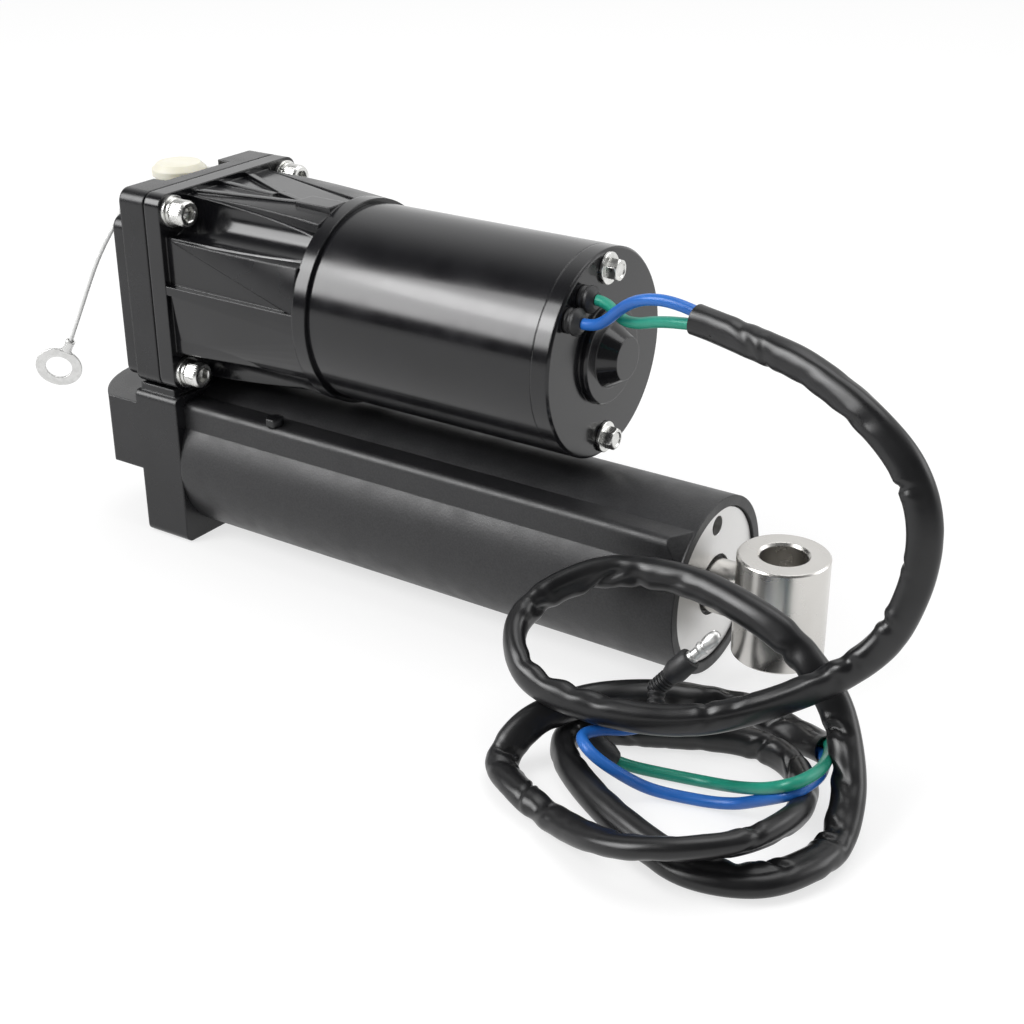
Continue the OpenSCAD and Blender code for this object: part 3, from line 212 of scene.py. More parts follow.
for nm, a, b, r0, r1, sc, dp in (
    ("magnet", (0.03, 0.03, 0.032), (0.05, 0.05, 0.052), 0.6, 0.8, 900, 1e-5),
    ("carbon", (0.012, 0.012, 0.012), (0.03, 0.03, 0.03), 0.5, 0.7, 900, 1e-5),
    ("phenolic", (0.10, 0.045, 0.02), (0.16, 0.08, 0.04), 0.4, 0.55, 400, 8e-6),
    ("bush_nylon", (0.016, 0.016, 0.016), (0.03, 0.03, 0.03), 0.4, 0.55, 500, 8e-6),
    ("rubber", (0.010, 0.010, 0.011), (0.020, 0.020, 0.021), 0.42, 0.58, 500, 1.2e-5),
):
    m = Mat(nm)
    m.color(a, b, sc / 4).rough(r0, r1, sc / 3, 4).edges(0.0003).bump(sc, dp, 3)
m = Mat("nylon").set(Subsurface_Weight=0.25, Subsurface_Radius=(0.004, 0.0035, 0.002),
                     Subsurface_Scale=1.0, IOR=1.45)
m.color((0.76, 0.73, 0.60), (0.82, 0.80, 0.70), 90).rough(0.36, 0.46, 150, 3)
m.edges(0.0008).bump(500, 8e-6, 3)
m = Mat("sleeve_black").set(IOR=1.47)
m.color((0.006, 0.006, 0.0068), (0.012, 0.012, 0.0128), 60, 4).rough(0.26, 0.38, 45, 4)
m.bump(70, 3.0e-5, 4).bump(900, 4e-6, 2)
for nm, a, b in (
    ("wire_blue", (0.010, 0.105, 0.42), (0.018, 0.150, 0.54)),
    ("wire_green", (0.010, 0.235, 0.155), (0.020, 0.315, 0.215)),
    ("wire_grey", (0.70, 0.71, 0.70), (0.80, 0.80, 0.79)),
):
    m = Mat(nm).set(IOR=1.47)
    m.color(a, b, 55).rough(0.30, 0.42, 120, 3).bump(300, 1.5e-5, 3)

SLOT_OF = {s["node"]: s["material_slot"] for s in frame["record"]["subparts"]}
for name, obj in NODES.items():
    obj.data.materials.clear()
    obj.data.materials.append(MATS[SLOT_OF[name]])

# ---------------------------------------------------------------- mesh helpers
WELD = 1e-7


def put(name, verts, faces, slot, body="unit", smooth=30):
    """A mesh that rides a body: verts in metres, with edges sharper than smooth degrees kept sharp."""
    me = bpy.data.meshes.new(name)
    me.from_pydata([tuple(v) for v in verts], [], faces)
    bm = bmesh.new()
    bm.from_mesh(me)
    bmesh.ops.remove_doubles(bm, verts=bm.verts, dist=WELD)
    bmesh.ops.recalc_face_normals(bm, faces=bm.faces)
    bm.to_mesh(me)
    bm.free()
    me.materials.append(MATS[slot])
    ob = bpy.data.objects.new(name, me)
    bpy.context.scene.collection.objects.link(ob)
    me.shade_smooth()
    me.set_sharp_from_angle(angle=math.radians(smooth))
    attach(ob, body)
    return ob


def aim(at, direction):
    """A frame on a point, in mm, with its +Z along a direction."""
    z = Vector(direction).normalized()
    q = Vector((0, 0, 1)).rotation_difference(z)
    return Matrix.Translation(Vector(at) * MM) @ q.to_matrix().to_4x4()


def spun(rings, n=96, closed=True):
    """Vertices and faces of rings about Z: each ring is (z, radius or function of the angle), in mm."""
    verts, faces = [], []
    for z, r in rings:
        for k in range(n):
            a = 2 * math.pi * k / n
            rr = r(a) if callable(r) else r
            verts.append(Vector((rr * math.cos(a), rr * math.sin(a), z)) * MM)
    for i in range(len(rings) - 1):
        for k in range(n):
            a, b = i * n + k, i * n + (k + 1) % n
            faces.append((a, b, b + n, a + n))
    if closed:
        faces.append(tuple(range(n))[::-1])
        faces.append(tuple((len(rings) - 1) * n + k for k in range(n)))
    return verts, faces


def gather(parts):
    """One mesh out of (verts, faces, matrix) parts."""
    verts, faces = [], []
    for v, f, mat in parts:
        o = len(verts)
        verts += [mat @ p for p in v]
        faces += [tuple(o + i for i in q) for q in f]
    return verts, faces


def hexed(af):
    """The radius, by angle, of a hexagon that measures af across its flats."""
    return lambda a: af / 2 / math.cos((a + math.pi / 6) % (math.pi / 3) - math.pi / 6)


def least(*fs):
    """The least, by angle, of some radii."""
    return lambda a: min(f(a) if callable(f) else f for f in fs)


def catmull(points, step):
    """A smooth line through the points, in metres, with points about a step apart."""
    p = np.asarray(points, float) * MM
    q = np.vstack([2 * p[0] - p[1], p, 2 * p[-1] - p[-2]])
    out = []
    for i in range(1, len(q) - 2):
        a, b, c, d = q[i - 1], q[i], q[i + 1], q[i + 2]
        n = max(2, int(round(np.linalg.norm(c - b) / step)))
        for k in range(n):
            t = k / n
            out.append(0.5 * (2 * b + (c - a) * t + (2 * a - 5 * b + 4 * c - d) * t**2
                              + (3 * b - a - 3 * c + d) * t**3))
    out.append(q[-2])
    return np.array(out)


def frames_on(line):
    """Directions along a line, and two square to each that turn as little as they can."""
    t = np.gradient(line, axis=0)
    t /= np.linalg.norm(t, axis=1)[:, None]
    up = np.array([0.0, 0.0, 1.0])
    us, ss = [], []
    for k in range(len(line)):
        up = up - np.dot(up, t[k]) * t[k]
        up /= np.linalg.norm(up)
        us.append(up)
        ss.append(np.cross(t[k], up))
    return t, np.array(us), np.array(ss)


def swept(line, radius, n, caps=True):
    """A tube along a line: radius(i, angle) in metres."""
    t, us, ss = frames_on(line)
    verts, faces = [], []
    for i in range(len(line)):
        for k in range(n):
            a = 2 * math.pi * k / n
            r = radius(i, a)
            verts.append(Vector(line[i] + r * (math.cos(a) * us[i] + math.sin(a) * ss[i])))
    for i in range(len(line) - 1):
        for k in range(n):
            a, b = i * n + k, i * n + (k + 1) % n
            faces.append((a, a + n, b + n, b))
    if caps:
        faces.append(tuple(range(n)))
        faces.append(tuple((len(line) - 1) * n + k for k in range(n))[::-1])
    return verts, faces


# ---------------------------------------------------------------- cords
BLUE_LEAD = [(207, -16.2, 90.3), (211.5, -16.6, 90.3), (216, -17.4, 91.4), (220.5, -18.6, 94.2),
             (225.5, -20.5, 98.5), (231, -22.5, 102.6), (237, -24, 105.4), (243.5, -24.6, 106.6),
             (250, -24.8, 106.3), (257, -25, 105)]
GREEN_LEAD = [(207, -7.7, 95.7), (211.5, -8.2, 96), (216, -9.8, 95.6), (221, -13, 94.6), (226, -16, 94.2),
              (232, -18.4, 95.2), (240, -20.8, 97.8), (248, -23.2, 99.8), (257, -25, 101)]
SLEEVE = [(256, -25, 103), (276, -28, 100.5), (297, -33, 98), (319, -39, 90), (334, -42, 78), (341, -44, 62),
          (340, -46, 42), (333, -51, 24), (316, -60, 9), (290, -73, -3), (264, -81, -6), (238, -82, -5),
          (225, -77, -1), (218, -66, 5), (223, -51, 12), (238, -38, 17), (264, -35, 19), (292, -40, 16),
          (308, -42, 8), (321, -46, -4), (332, -60, -17), (336, -76, -26.5), (334, -92, -26.5),
          (325, -106, -26.5), (308, -112, -26.5), (290, -108, -26.5), (268, -98, -26.5), (250, -86, -26.5),
          (242, -76, -26.5), (245, -66, -26.5), (265, -55, -26.5), (288, -45, -26.5), (303, -45.5, -26.5),
          (315, -55, -25.5), (322.5, -71, -22), (325, -89, -17), (319, -106, -16), (303, -120, -16),
          (285, -122, -20), (262, -113, -26.5), (242, -105, -26.5), (232, -96, -26.5), (235, -84, -18),
          (246, -66, -15), (259, -44, -20), (269, -31, -26), (284, -27, -26.5), (304, -33, -26),
          (317, -41, -22)]
GREEN_TAIL = [(316.5, -39.5, -20.5), (321.5, -51.5, -16.5), (325.5, -67, -11), (324.5, -77, -9.5),
              (320.5, -80.5, -11), (312, -77.5, -17), (300.5, -72, -24), (287, -68.5, -29), (268, -73, -29),
              (260, -75.5, -27.5)]
BLUE_TAIL = [(316.5, -42.7, -23.2), (321, -53, -19.5), (324.5, -66, -15), (324, -75.5, -13.5),
             (320.5, -79.5, -15), (311.5, -77.5, -21.5), (302, -75.5, -27.5), (291.5, -77, -29.5),
             (277, -82, -28), (268, -89, -20.5), (261, -91.5, -15), (255.5, -87, -14), (258, -81, -14),
             (265, -76, -14), (269, -70, -13.5), (268, -64, -10.5), (266, -60, -7)]
GROUND = [(19.8, 19.3, 108), (12.5, 21.5, 106.5), (5, 28, 104), (-2, 29, 102), (-10, 22, 100), (-15, 5, 97),
          (-13, -8, 87), (-19.5, -14, 71.5), (-30, -18, 47), (-35, -19, 36.5)]
MALE_BOOT, MALE_DIR = (266, -60, -7), (11, 5, 14)
FEMALE_BOOT, FEMALE_DIR = (260, -75.5, -27.5), (-8, -4, 9)
RING_C, RING_DIR, RING_FACE = Vector((-43, -20, 24)), Vector((8, 1, 12.5)), Vector((0.5, -0.75, -0.34))
WIRE_R, SLEEVE_R, GROUND_R = 1.9 * MM, 5.0 * MM, 0.8 * MM
WIRE_STEP, SLEEVE_STEP, GROUND_STEP = 0.0012, 0.0008, 0.001  # metres between rings
WIRE_SIDES, SLEEVE_SIDES, GROUND_SIDES = 20, 56, 14


def wire(name, route, slot, before=(), after=()):
    """A wire along its route, with the points that lie inside the sleeve before or after it."""
    line = catmull([*before, *route, *after], WIRE_STEP)
    v, f = swept(line, lambda i, a: WIRE_R * (1 + 0.012 * noise.noise(Vector(line[i]) * 60)), WIRE_SIDES)
    return put(name, v, f, slot, smooth=60), line


blue_lead, blue_lead_line = wire("blue_lead_wire", BLUE_LEAD, "wire_blue", after=[(265, -26.3, 104)])
green_lead, green_lead_line = wire("green_lead_wire", GREEN_LEAD, "wire_green", after=[(265, -26.3, 100)])
green_tail, green_tail_line = wire("green_tail_wire", GREEN_TAIL, "wire_green", before=[(311.5, -36, -22.5)])
blue_tail, blue_tail_line = wire("blue_tail_wire", BLUE_TAIL, "wire_blue", before=[(311.5, -39.5, -25)])


SLEEVE_SEED = 7
BEND_POINTS = 15  # points over which the sleeve's bend is averaged
EASY_BEND, HARD_BEND = 9, 31  # curvatures in 1/m between which its creases deepen
FIRST_BUCKLE, LAST_BUCKLE = 0.018, 0.015  # metres from the start and from the end
BUCKLE_REACH, ROUND_END = 0.016, 0.006  # metres


def make_sleeve():
    """A thin loose vinyl tube over two wires: it flattens, twists and creases where it bends."""
    line = catmull(SLEEVE, SLEEVE_STEP)
    n = SLEEVE_SIDES
    t, us, ss = frames_on(line)
    seg = np.linalg.norm(np.diff(line, axis=0), axis=1)
    s = np.concatenate([[0], np.cumsum(seg)])
    dt = np.gradient(t, axis=0) / np.gradient(s)[:, None]
    k = np.ones(BEND_POINTS) / BEND_POINTS
    bend = np.stack([np.convolve(dt[:, c], k, mode="same") for c in range(3)], 1)
    curv = np.linalg.norm(bend, axis=1)
    inward = bend / np.maximum(curv, 1e-9)[:, None]
    tight = np.clip((curv - EASY_BEND) / (HARD_BEND - EASY_BEND), 0, 1)
    total = s[-1]
    rng = np.random.default_rng(SLEEVE_SEED)
    buckles = []
    at_s = FIRST_BUCKLE
    while at_s < total - LAST_BUCKLE:
        i = int(np.searchsorted(s, at_s))
        depth = rng.uniform(0.03, 0.10) + 0.22 * tight[i] * rng.uniform(0.4, 1.0)
        lean = rng.uniform(-1.5, 1.5)
        off, width, spread = rng.uniform(-0.9, 0.9), rng.uniform(0.0013, 0.0030), rng.uniform(1.2, 2.6)
        buckles.append((at_s, depth, off, lean, width, spread))
        at_s += rng.uniform(0.010, 0.030) - 0.004 * tight[i]

    def radius(i, a):
        """An oval that twists along the tube, with soft folds, long valleys and the buckles cut into it."""
        si = s[i]
        c, d = math.cos(a), math.sin(a)
        inner = math.atan2(float(np.dot(inward[i], ss[i])), float(np.dot(inward[i], us[i])))
        twist = 1.6 * noise.noise(Vector((si * 6, 3.1, 0))) + si * 6
        calm = 0.5 + 0.9 * noise.noise(Vector((si * 13, 0, 7)))
        flat = 0.05 + 0.12 * calm + 0.07 * tight[i]
        shape = 1 + flat * math.cos(2 * (a + twist)) - flat * 0.45
        fold = noise.noise(Vector((si * 24, c * 0.7, d * 0.7)))
        fold += 0.35 * noise.noise(Vector((si * 60, c, d + 9)))
        line_a = a + si * 9 + 1.2 * noise.noise(Vector((si * 14, 2.0, 8.0)))
        valley = max(0.0, math.cos(line_a)) ** 26 + 0.8 * max(0.0, math.cos(line_a + 2.5)) ** 40
        some = min(1.0, max(0.0, 0.5 + 1.3 * noise.noise(Vector((si * 17, 5.5, 2.0)))))
        dent = valley * some * 0.075
        for s0, depth, off, lean, width, spread in buckles:
            x = si - s0
            if abs(x) < BUCKLE_REACH:
                w = a - inner - off
                w = math.atan2(math.sin(w), math.cos(w))
                x -= lean * 0.004 * math.sin(w) + 0.0012 * abs(w)
                reach = math.exp(-(w / spread) ** 2 * 1.6)
                dent += depth * reach * (math.exp(-(x / width) ** 2)
                                         - 0.35 * math.exp(-((abs(x) - 2.1 * width) / width) ** 2))
        r = SLEEVE_R * (shape * 0.985 + 0.05 * fold - dent)
        end = min(si, total - si)
        if end < ROUND_END:
            w = end / ROUND_END
            r = r * w + SLEEVE_R * (0.99 + 0.02 * math.sin(3 * a)) * (1 - w)
        return min(r, SLEEVE_R * 1.1)

    v, f = swept(line, radius, n, caps=False)
    # the open mouths: an inner wall, closed some rings down
    wall, deep, taper = 0.00045, 12, 0.00002
    for first, step in ((0, 1), (len(line) - 1, -1)):
        prev = first * n
        for j in range(deep):
            i = first + step * j
            o = len(v)
            for q in range(n):
                a = 2 * math.pi * q / n
                r = radius(first, a) - wall - taper * j
                v.append(Vector(line[i] + r * (math.cos(a) * us[i] + math.sin(a) * ss[i])))
            for q in range(n):
                x, y = q, (q + 1) % n
                face = (prev + x, prev + y, o + y, o + x)
                f.append(face if step > 0 else face[::-1])
            prev = o
        f.append(tuple(prev + q for q in range(n)))
    return put("vinyl_sleeve", v, f, "sleeve_black", smooth=75), line


sleeve, sleeve_line = make_sleeve()


def make_ground():
    """The thin ground wire."""
    line = catmull(GROUND, GROUND_STEP)
    v, f = swept(line, lambda i, a: GROUND_R * (1 + 0.02 * noise.noise(Vector(line[i]) * 90)), GROUND_SIDES)
    return put("ground_wire", v, f, "wire_grey", smooth=60), line


ground, ground_line = make_ground()


def neck(i, a):
    """The ribs of the male boot's neck, along the blue wire's last points."""
    return (2.95 - 0.1 * (i == 0) - 0.55 * (i % 2)) * MM


def split_at(z, r):
    """The bullet's radius by angle: its tip is slit along its middle."""
    return lambda a: r * (0.55 if 21.9 < z < 28 and abs(math.sin(a)) < 0.16 else 1.0)


# boots, bullet and socket on the wires' ends
male = aim(MALE_BOOT, MALE_DIR)
rings = [(-1.2, 2.0), (-0.6, 2.9), (0, 3.1)]
for k in range(5):
    z = 0.2 + k * 1.15
    rings += [(z, 2.55), (z + 0.12, 3.05), (z + 0.55, 3.1), (z + 0.7, 2.55)]
rings += [(6.1, 2.7), (6.4, 3.1), (8.6, 3.8), (9.2, 3.95), (15.2, 3.85), (15.8, 3.6), (16, 3.2), (16, 2.4),
          (13, 2.35)]
v, f = spun(rings, 64)
nv, nf = swept(blue_tail_line[-7:], neck, 40)
male_boot = put("male_boot", *gather([(v, f, male), (nv, nf, Matrix.Identity(4))]), "rubber")

rings = [(11, 2.15), (16.6, 2.2), (16.9, 2.1), (17.2, 1.75), (19.6, 1.7), (20.0, 2.05), (20.8, 2.3),
         (21.4, 2.2), (21.7, 1.6), (22.3, 1.58), (22.7, 2.1), (24.6, 2.3), (26.2, 2.22), (27.3, 1.9),
         (28.0, 1.35), (28.4, 0.6), (28.45, 0.25)]
v, f = spun([(z, split_at(z, r)) for z, r in rings], 96)
male_bullet = put("male_bullet", *gather([(v, f, male)]), "tinned")

female = aim(FEMALE_BOOT, FEMALE_DIR)
rings = [(-1.0, 2.0), (-0.4, 2.9), (0.2, 3.3), (1.2, 3.5), (2.6, 3.85), (12.2, 3.85), (12.8, 3.7), (13, 3.4),
         (13, 2.75), (6, 2.7)]
v, f = spun(rings, 64)
female_boot = put("female_boot", *gather([(v, f, female)]), "rubber")
v, f = spun([(6, 2.5), (11.8, 2.55), (12.0, 2.45), (12.0, 2.0), (6.5, 1.95)], 64)
female_socket = put("female_socket", *gather([(v, f, female)]), "tinned")

# ring terminal: a stamped ring, its tongue and the crimp
along = RING_DIR.normalized()
face_n = (RING_FACE - RING_FACE.dot(along) * along).normalized()
side = face_n.cross(along)
ring_m = Matrix.Translation(RING_C * MM) @ Matrix((side, along, face_n)).transposed().to_4x4()
prof = [(5.4, -0.35), (5.55, -0.5), (9.35, -0.5), (9.5, -0.35), (9.5, 0.35), (9.35, 0.5), (5.55, 0.5),
        (5.4, 0.35), (5.4, -0.35)]
rv, rf = spun([(z, r) for r, z in prof], 96, closed=False)


def squeeze(r, d):
    """The crimp's radius by angle: pressed in by a share d on one side."""
    return lambda a: r * (1 - d * max(0.0, math.sin(a)) ** 3 - 0.06 * max(0.0, -math.sin(a)) ** 8)


def strip(stations):
    """A closed strip along +Y: stations of (y, half width, low z, high z), in mm."""
    v, f = [], []
    for y, w, z0, z1 in stations:
        e = min(0.25, w / 3)
        v += [Vector(q) * MM for q in ((-w, y, z0 + 0.2), (-w + e, y, z0), (w - e, y, z0), (w, y, z0 + 0.2),
                                       (w, y, z1 - 0.2), (w - e, y, z1), (-w + e, y, z1), (-w, y, z1 - 0.2))]
    for i in range(len(stations) - 1):
        for k in range(8):
            a, b = i * 8 + k, i * 8 + (k + 1) % 8
            f.append((a, b, b + 8, a + 8))
    f.append(tuple(range(8))[::-1])
    o = (len(stations) - 1) * 8
    f.append(tuple(o + k for k in range(8)))
    return v, f


tv, tf = strip([(8.6, 2.9, -0.5, 0.5), (9.3, 2.4, -0.5, 0.5), (10.2, 1.8, -0.5, 0.5), (10.9, 1.6, -0.5, 0.5)])
crimp_m = Matrix.Translation(Vector((0, 9.6, 0)) * MM) @ Matrix.Rotation(-math.pi / 2, 4, "X")
cv, cf = spun([(0, squeeze(1.75, 0.25)), (0.3, squeeze(1.95, 0.2)), (1.3, squeeze(1.95, 0.1)),
               (2.0, squeeze(1.9, 0.5)), (3.6, squeeze(1.9, 0.5)), (4.2, squeeze(1.95, 0.1)), (5.4, 1.95),
               (5.6, 1.8), (5.6, 1.2), (4.0, 1.1)], 48)
ring_parts = [(rv, rf, ring_m), (tv, tf, ring_m), (cv, cf, ring_m @ crimp_m)]
ring_terminal = put("ring_terminal_stamped", *gather(ring_parts), "tinned")

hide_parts("blue_lead")
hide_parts("green_lead")
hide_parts("cable_sleeve")
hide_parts("blue_tail")
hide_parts("green_tail")
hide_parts("ground_lead")
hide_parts("bullet_boots")
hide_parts("bullet_boots")
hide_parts("bullet_terminals")
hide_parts("bullet_terminals")
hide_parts("ring_terminal")


# ---------------------------------------------------------------- hardware
MY, MZ = 7.8, 71.3  # the motor's axis
SEAT, COVER_END = 35.0, 204.7  # faces of the housing's flange and of the motor's cover, along X
FLAT_WASHER, LOCK_WASHER = 1.6, 1.6  # thicknesses
SCREW_OUT, BOLT_OUT = 31.75, 30.6  # screws and through bolts from the motor's axis, along Y and Z
X_UP = Matrix.Rotation(math.pi / 2, 4, "Y")


def at_x(x, y, z, turn=0.0):
    """A frame at a point, in mm, with its +Z along X."""
    return Matrix.Translation(Vector((x, y, z)) * MM) @ X_UP @ Matrix.Rotation(turn, 4, "Z")


def knurl(r, depth, count=40):
    """The radius, by angle, of a knurled head."""
    return lambda a: r - depth * (0.5 + 0.5 * math.cos(count * a))


def spring_washer():
    """One turn with a gap, its ends a little apart."""
    gap, n = 0.1, 90
    verts, faces = [], []
    for i in range(n + 1):
        a = gap / 2 + (2 * math.pi - gap) * i / n
        lift = 0.35 * (i / n - 0.5)
        for r, h in ((3.1, 0.1), (3.2, 0), (5.1, 0), (5.2, 0.1), (5.2, 1.25), (5.1, 1.35), (3.2, 1.35),
                     (3.1, 1.25)):
            verts.append(Vector((r * math.cos(a), r * math.sin(a), h + 0.12 + lift * 0.6)) * MM)
    for i in range(n):
        for q in range(8):
            a, b = i * 8 + q, i * 8 + (q + 1) % 8
            faces.append((a, b, b + 8, a + 8))
    faces.append(tuple(range(8)))
    faces.append(tuple(n * 8 + q for q in range(8))[::-1])
    return verts, faces


screws, washers = [], []
hx = hexed(5.0)
rings = [(-17, 0.4), (-16.6, 2.6), (-16, 3.0), (0, 3.0), (0, 4.7), (0.25, 4.95), (0.4, knurl(5.0, 0.16)),
         (4.9, knurl(5.0, 0.16)), (5.05, 4.85), (5.75, 4.55), (6.0, 4.2), (6.0, 3.1),
         (5.75, least(2.95, lambda a: hx(a) + 0.15)), (5.6, hx), (2.9, hx), (2.6, 1.6), (2.0, 0.15)]
for sy, sz, turn in ((-1, -1, 0.3), (-1, 1, 1.1), (1, -1, 0.7), (1, 1, 2.0)):
    y, z = MY + sy * SCREW_OUT, MZ + sz * SCREW_OUT
    screws.append((*spun(rings, 240), at_x(SEAT + FLAT_WASHER + LOCK_WASHER, y, z, turn)))
    washers.append((*spring_washer(), at_x(SEAT + FLAT_WASHER, y, z, turn * 2)))
housing_screws = put("socket_screws", *gather(screws), "zinc_steel", smooth=28)
lock_washers = put("spring_washers", *gather(washers), "zinc_steel")
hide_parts("housing_screws")
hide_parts("lock_washers")

hexa = hexed(7.0)
top = 5.4
rings = [(-110, 0.5), (-110, 2.5), (0, 2.5), (0, 5.3), (0.2, 5.6), (1.1, 5.6), (1.35, 5.35), (1.4, 4.3),
         (1.5, hexa), (top - 1.0, least(hexa, 4.1)), (top - 0.55, least(hexa, 3.86)),
         (top - 0.2, least(hexa, 3.5)), (top, 3.1), (top, 2.7), (top - 0.45, 2.2), (top - 0.55, 0.2)]
bolts = []
for sz, turn in ((-1, 0.25), (1, 0.65)):
    bolts.append((*spun(rings, 192), at_x(COVER_END, MY, MZ + sz * BOLT_OUT, turn)))
through_bolts = put("hex_bolts", *gather(bolts), "zinc_steel", smooth=28)
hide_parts("through_bolts")


def panel_lip(turn):
    """The casting's flat panel, carried on to the ring beside the flute, and turned about the axis."""
    n, m, x0, x1 = 24, 10, 35.6, 96.75
    v, f = [], []
    for i in range(n + 1):
        u = i / n
        x = x0 + (x1 - x0) * u
        # the panel's lower and upper edge, and between them its face, bowed in towards the top
        seam, top = 21.9 - 18.7 * u, 21.9 - 1.3 * u
        for k in range(m + 1):
            z = seam + (top - seam) * k / m
            v.append((x, 35.83 + 0.0194 * (x - x0) - 0.0112 * (z - seam) ** 2, z))
        v.append((x, 34.6 - 4.7 * u, 21.6 - 0.25 * u))
        v.append((x, 34.6 - 0.6 * u, seam))
    w = m + 3
    for i in range(n):
        for k in range(w):
            a, b = i * w + k, i * w + (k + 1) % w
            f.append((a, b, b + w, a + w))
    f += [tuple(range(w))[::-1], tuple(n * w + k for k in range(w))]
    flip, spin = turn  # mirrored or not, and the angle about the axis
    out = []
    for x, y, z in v:
        q = Matrix.Rotation(spin, 4, "X") @ Vector((x, -y if flip else y, z))
        out.append(Vector((q.x, q.y + MY, q.z + MZ)) * MM)
    return out, f, Matrix.Identity(4)


QUARTER = math.pi / 2
turns = (True, 0), (False, 0), (False, QUARTER), (True, -QUARTER)
put("panel_lips", *gather([panel_lip(t) for t in turns]), "black_casting", smooth=25)

rings = [(-6, 1.9), (-6, 3.5), (0, 3.5), (0, 4.2), (0.2, 4.4), (1.0, 4.4), (1.3, 4.1), (1.5, 3.9),
         (2.2, 3.95), (2.5, 4.5), (2.8, 4.75), (3.7, 4.7), (4.4, 4.2), (5.2, 3.3), (5.6, 2.8), (5.65, 2.3),
         (5.65, 1.95)]
grommets = [(*spun(rings, 64), at_x(COVER_END, MY + gy, MZ + gz)) for gy, gz in ((-24, 19), (-15.5, 24.4))]
wire_grommets = put("rubber_grommets", *gather(grommets), "rubber")
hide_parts("wire_grommets")

# ---------------------------------------------------------------- floor, world and lamps
FLOOR_HALF, FLOOR_GAP = 9, 0.0002
WHITE = (1, 1, 1, 1)
floor_z = min(CAD_BOX[0][2], CAD_BOX[1][2]) - FLOOR_GAP
fm = bpy.data.meshes.new("floor")
corners = [(x * FLOOR_HALF, y * FLOOR_HALF, floor_z) for x, y in ((-1, -1), (1, -1), (1, 1), (-1, 1))]
fm.from_pydata(corners, [], [(0, 1, 2, 3)])
floor = bpy.data.objects.new("floor", fm)
bpy.context.scene.collection.objects.link(floor)
mat = bpy.data.materials.new("floor_white")
mat.use_nodes = True
nt = mat.node_tree
nt.nodes.clear()
# the camera and reflections see a floor that glows to white, and other rays see a plain one
out = nt.nodes.new("ShaderNodeOutputMaterial")
lp = nt.nodes.new("ShaderNodeLightPath")
seen = nt.nodes.new("ShaderNodeMath")
seen.operation = "MAXIMUM"
nt.links.new(lp.outputs["Is Camera Ray"], seen.inputs[0])
nt.links.new(lp.outputs["Is Glossy Ray"], seen.inputs[1])
plain = nt.nodes.new("ShaderNodeBsdfDiffuse")
plain.inputs["Color"].default_value = (0.8, 0.8, 0.8, 1)
part = nt.nodes.new("ShaderNodeBsdfDiffuse")
part.inputs["Color"].default_value = (0.34, 0.34, 0.34, 1)
glow = nt.nodes.new("ShaderNodeEmission")
glow.inputs["Color"].default_value = WHITE
glow.inputs["Strength"].default_value = 0.70
add = nt.nodes.new("ShaderNodeAddShader")
nt.links.new(part.outputs[0], add.inputs[0])
nt.links.new(glow.outputs[0], add.inputs[1])
mix = nt.nodes.new("ShaderNodeMixShader")
nt.links.new(seen.outputs[0], mix.inputs["Fac"])
nt.links.new(plain.outputs[0], mix.inputs[1])
nt.links.new(add.outputs[0], mix.inputs[2])
nt.links.new(mix.outputs[0], out.inputs["Surface"])
fm.materials.append(mat)

world = bpy.data.worlds.new("studio")
bpy.context.scene.world = world
world.use_nodes = True
wt = world.node_tree
wt.nodes.clear()


def wnode(kind, op=None, **inputs):
    """A node of the world, with its inputs set."""
    n = wt.nodes.new(kind)
    if op:
        n.operation = op
    for k, v in inputs.items():
        n.inputs[k.replace("_", " ")].default_value = v
    return n


tc = wnode("ShaderNodeTexCoord")


def patch(direction, wide, tall, soft):
    """1 inside a soft-edged box of directions round a direction, as a studio softbox."""
    d = Vector(direction).normalized()
    right = d.cross(Vector((0, 0, 1))).normalized()
    up = right.cross(d)
    masks = []
    for axis, half in ((right, wide), (up, tall)):
        dot = wnode("ShaderNodeVectorMath", "DOT_PRODUCT")
        dot.inputs[1].default_value = axis
        wt.links.new(tc.outputs["Generated"], dot.inputs[0])
        ab = wnode("ShaderNodeMath", "ABSOLUTE")
        wt.links.new(dot.outputs["Value"], ab.inputs[0])
        mr = wnode("ShaderNodeMapRange")
        mr.interpolation_type = "SMOOTHSTEP"
        for nm, val in (("From Min", half - soft), ("From Max", half + soft), ("To Min", 1.0),
                        ("To Max", 0.0)):
            mr.inputs[nm].default_value = val
        wt.links.new(ab.outputs[0], mr.inputs["Value"])
        masks.append(mr.outputs["Result"])
    fr = wnode("ShaderNodeVectorMath", "DOT_PRODUCT")
    fr.inputs[1].default_value = d
    wt.links.new(tc.outputs["Generated"], fr.inputs[0])
    gt = wnode("ShaderNodeMath", "GREATER_THAN")
    gt.inputs[1].default_value = 0.0
    wt.links.new(fr.outputs["Value"], gt.inputs[0])
    m1 = wnode("ShaderNodeMath", "MULTIPLY")
    wt.links.new(masks[0], m1.inputs[0])
    wt.links.new(masks[1], m1.inputs[1])
    m2 = wnode("ShaderNodeMath", "MULTIPLY")
    wt.links.new(m1.outputs[0], m2.inputs[0])
    wt.links.new(gt.outputs[0], m2.inputs[1])
    return m2.outputs[0]


def scaled(value, factor):
    """A value of the world's nodes times a number."""
    m = wnode("ShaderNodeMath", "MULTIPLY")
    m.inputs[1].default_value = factor
    wt.links.new(value, m.inputs[0])
    return m.outputs[0]


def added(a, b):
    """Two values of the world's nodes added."""
    m = wnode("ShaderNodeMath", "ADD")
    wt.links.new(a, m.inputs[0])
    wt.links.new(b, m.inputs[1])
    return m.outputs[0]


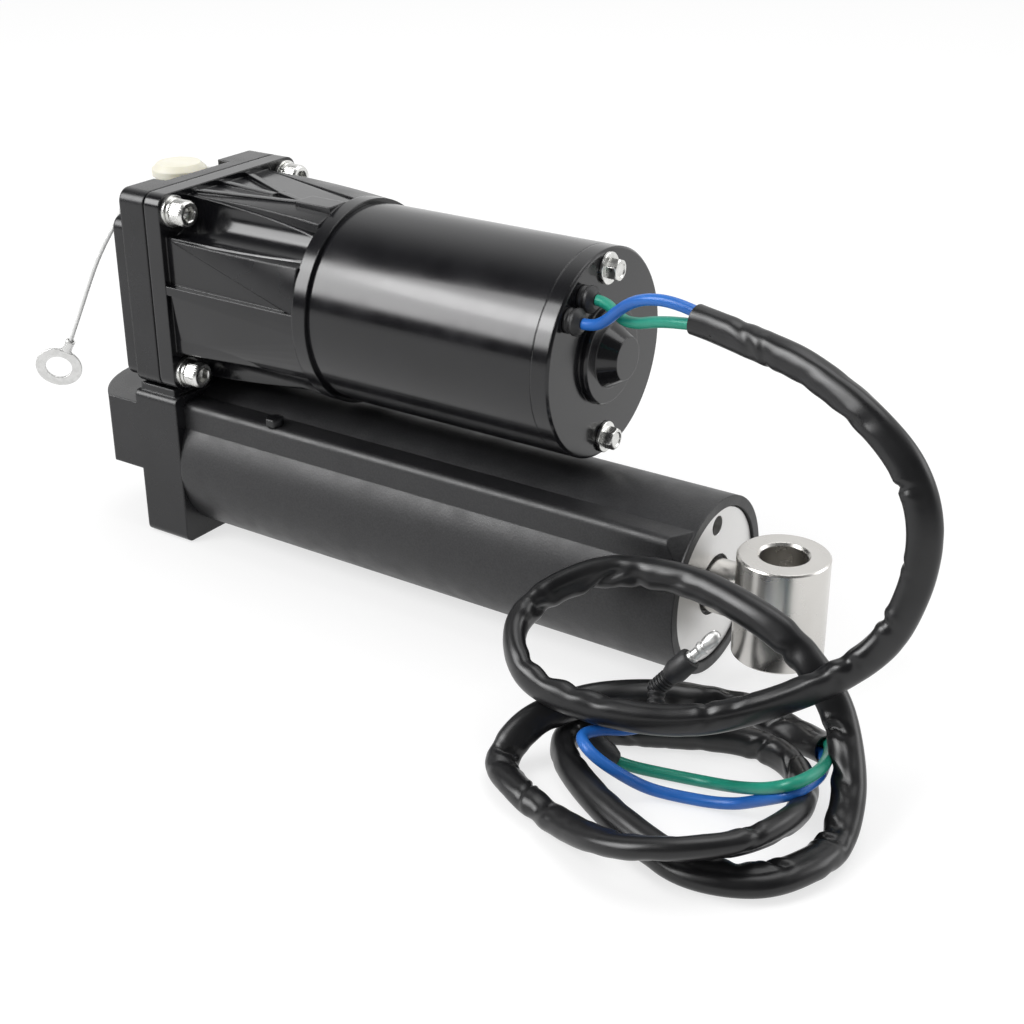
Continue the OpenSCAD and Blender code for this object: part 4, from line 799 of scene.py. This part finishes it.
# what reflections see: a white backdrop behind the object, dimmer towards the front, and two softboxes
sep = wnode("ShaderNodeSeparateXYZ")
wt.links.new(tc.outputs["Generated"], sep.inputs[0])
back = wnode("ShaderNodeMapRange")
back.interpolation_type = "SMOOTHSTEP"
for nm, val in (("From Min", -0.15), ("From Max", 0.55), ("To Min", 0.10), ("To Max", 1.0)):
    back.inputs[nm].default_value = val
wt.links.new(sep.outputs["Y"], back.inputs["Value"])
key = patch((-0.66, -0.62, 0.46), 0.30, 0.235, 0.055)
rim = patch((0.70, 0.55, 0.45), 0.30, 0.20, 0.06)
gloss_level = added(back.outputs["Result"], added(scaled(key, 8.5), scaled(rim, 3.0)))
lpw = wnode("ShaderNodeLightPath")
bg_cam = wnode("ShaderNodeBackground", Strength=1.0)
bg_cam.inputs["Color"].default_value = WHITE
bg_fill = wnode("ShaderNodeBackground", Strength=0.62)
bg_fill.inputs["Color"].default_value = WHITE
bg_gloss = wnode("ShaderNodeBackground")
bg_gloss.inputs["Color"].default_value = WHITE
wt.links.new(gloss_level, bg_gloss.inputs["Strength"])
mix1 = wnode("ShaderNodeMixShader")
wt.links.new(lpw.outputs["Is Glossy Ray"], mix1.inputs["Fac"])
wt.links.new(bg_fill.outputs[0], mix1.inputs[1])
wt.links.new(bg_gloss.outputs[0], mix1.inputs[2])
clear = wnode("ShaderNodeMath", "MAXIMUM")
wt.links.new(lpw.outputs["Is Camera Ray"], clear.inputs[0])
wt.links.new(lpw.outputs["Is Transmission Ray"], clear.inputs[1])
mix2 = wnode("ShaderNodeMixShader")
wt.links.new(clear.outputs[0], mix2.inputs["Fac"])
wt.links.new(mix1.outputs[0], mix2.inputs[1])
wt.links.new(bg_cam.outputs[0], mix2.inputs[2])
wo = wnode("ShaderNodeOutputWorld")
wt.links.new(mix2.outputs[0], wo.inputs["Surface"])


def area(name, loc, target, size, watts):
    """A round lamp aimed at a point, which the camera doesn't see."""
    d = bpy.data.lights.new(name, "AREA")
    d.shape, d.size, d.energy = "DISK", size, watts
    o = bpy.data.objects.new(name, d)
    o.location = loc
    o.rotation_euler = (Vector(target) - Vector(loc)).to_track_quat("-Z", "Y").to_euler()
    o.visible_camera = False
    bpy.context.scene.collection.objects.link(o)


MIDDLE = (0.14, 0.0, 0.03)
area("lamp_key", (-0.55, -1.05, 1.25), MIDDLE, 0.9, 13)
area("lamp_top", (0.35, 0.35, 1.6), MIDDLE, 1.2, 9)

sc = bpy.context.scene
sc.view_settings.view_transform = "Standard"
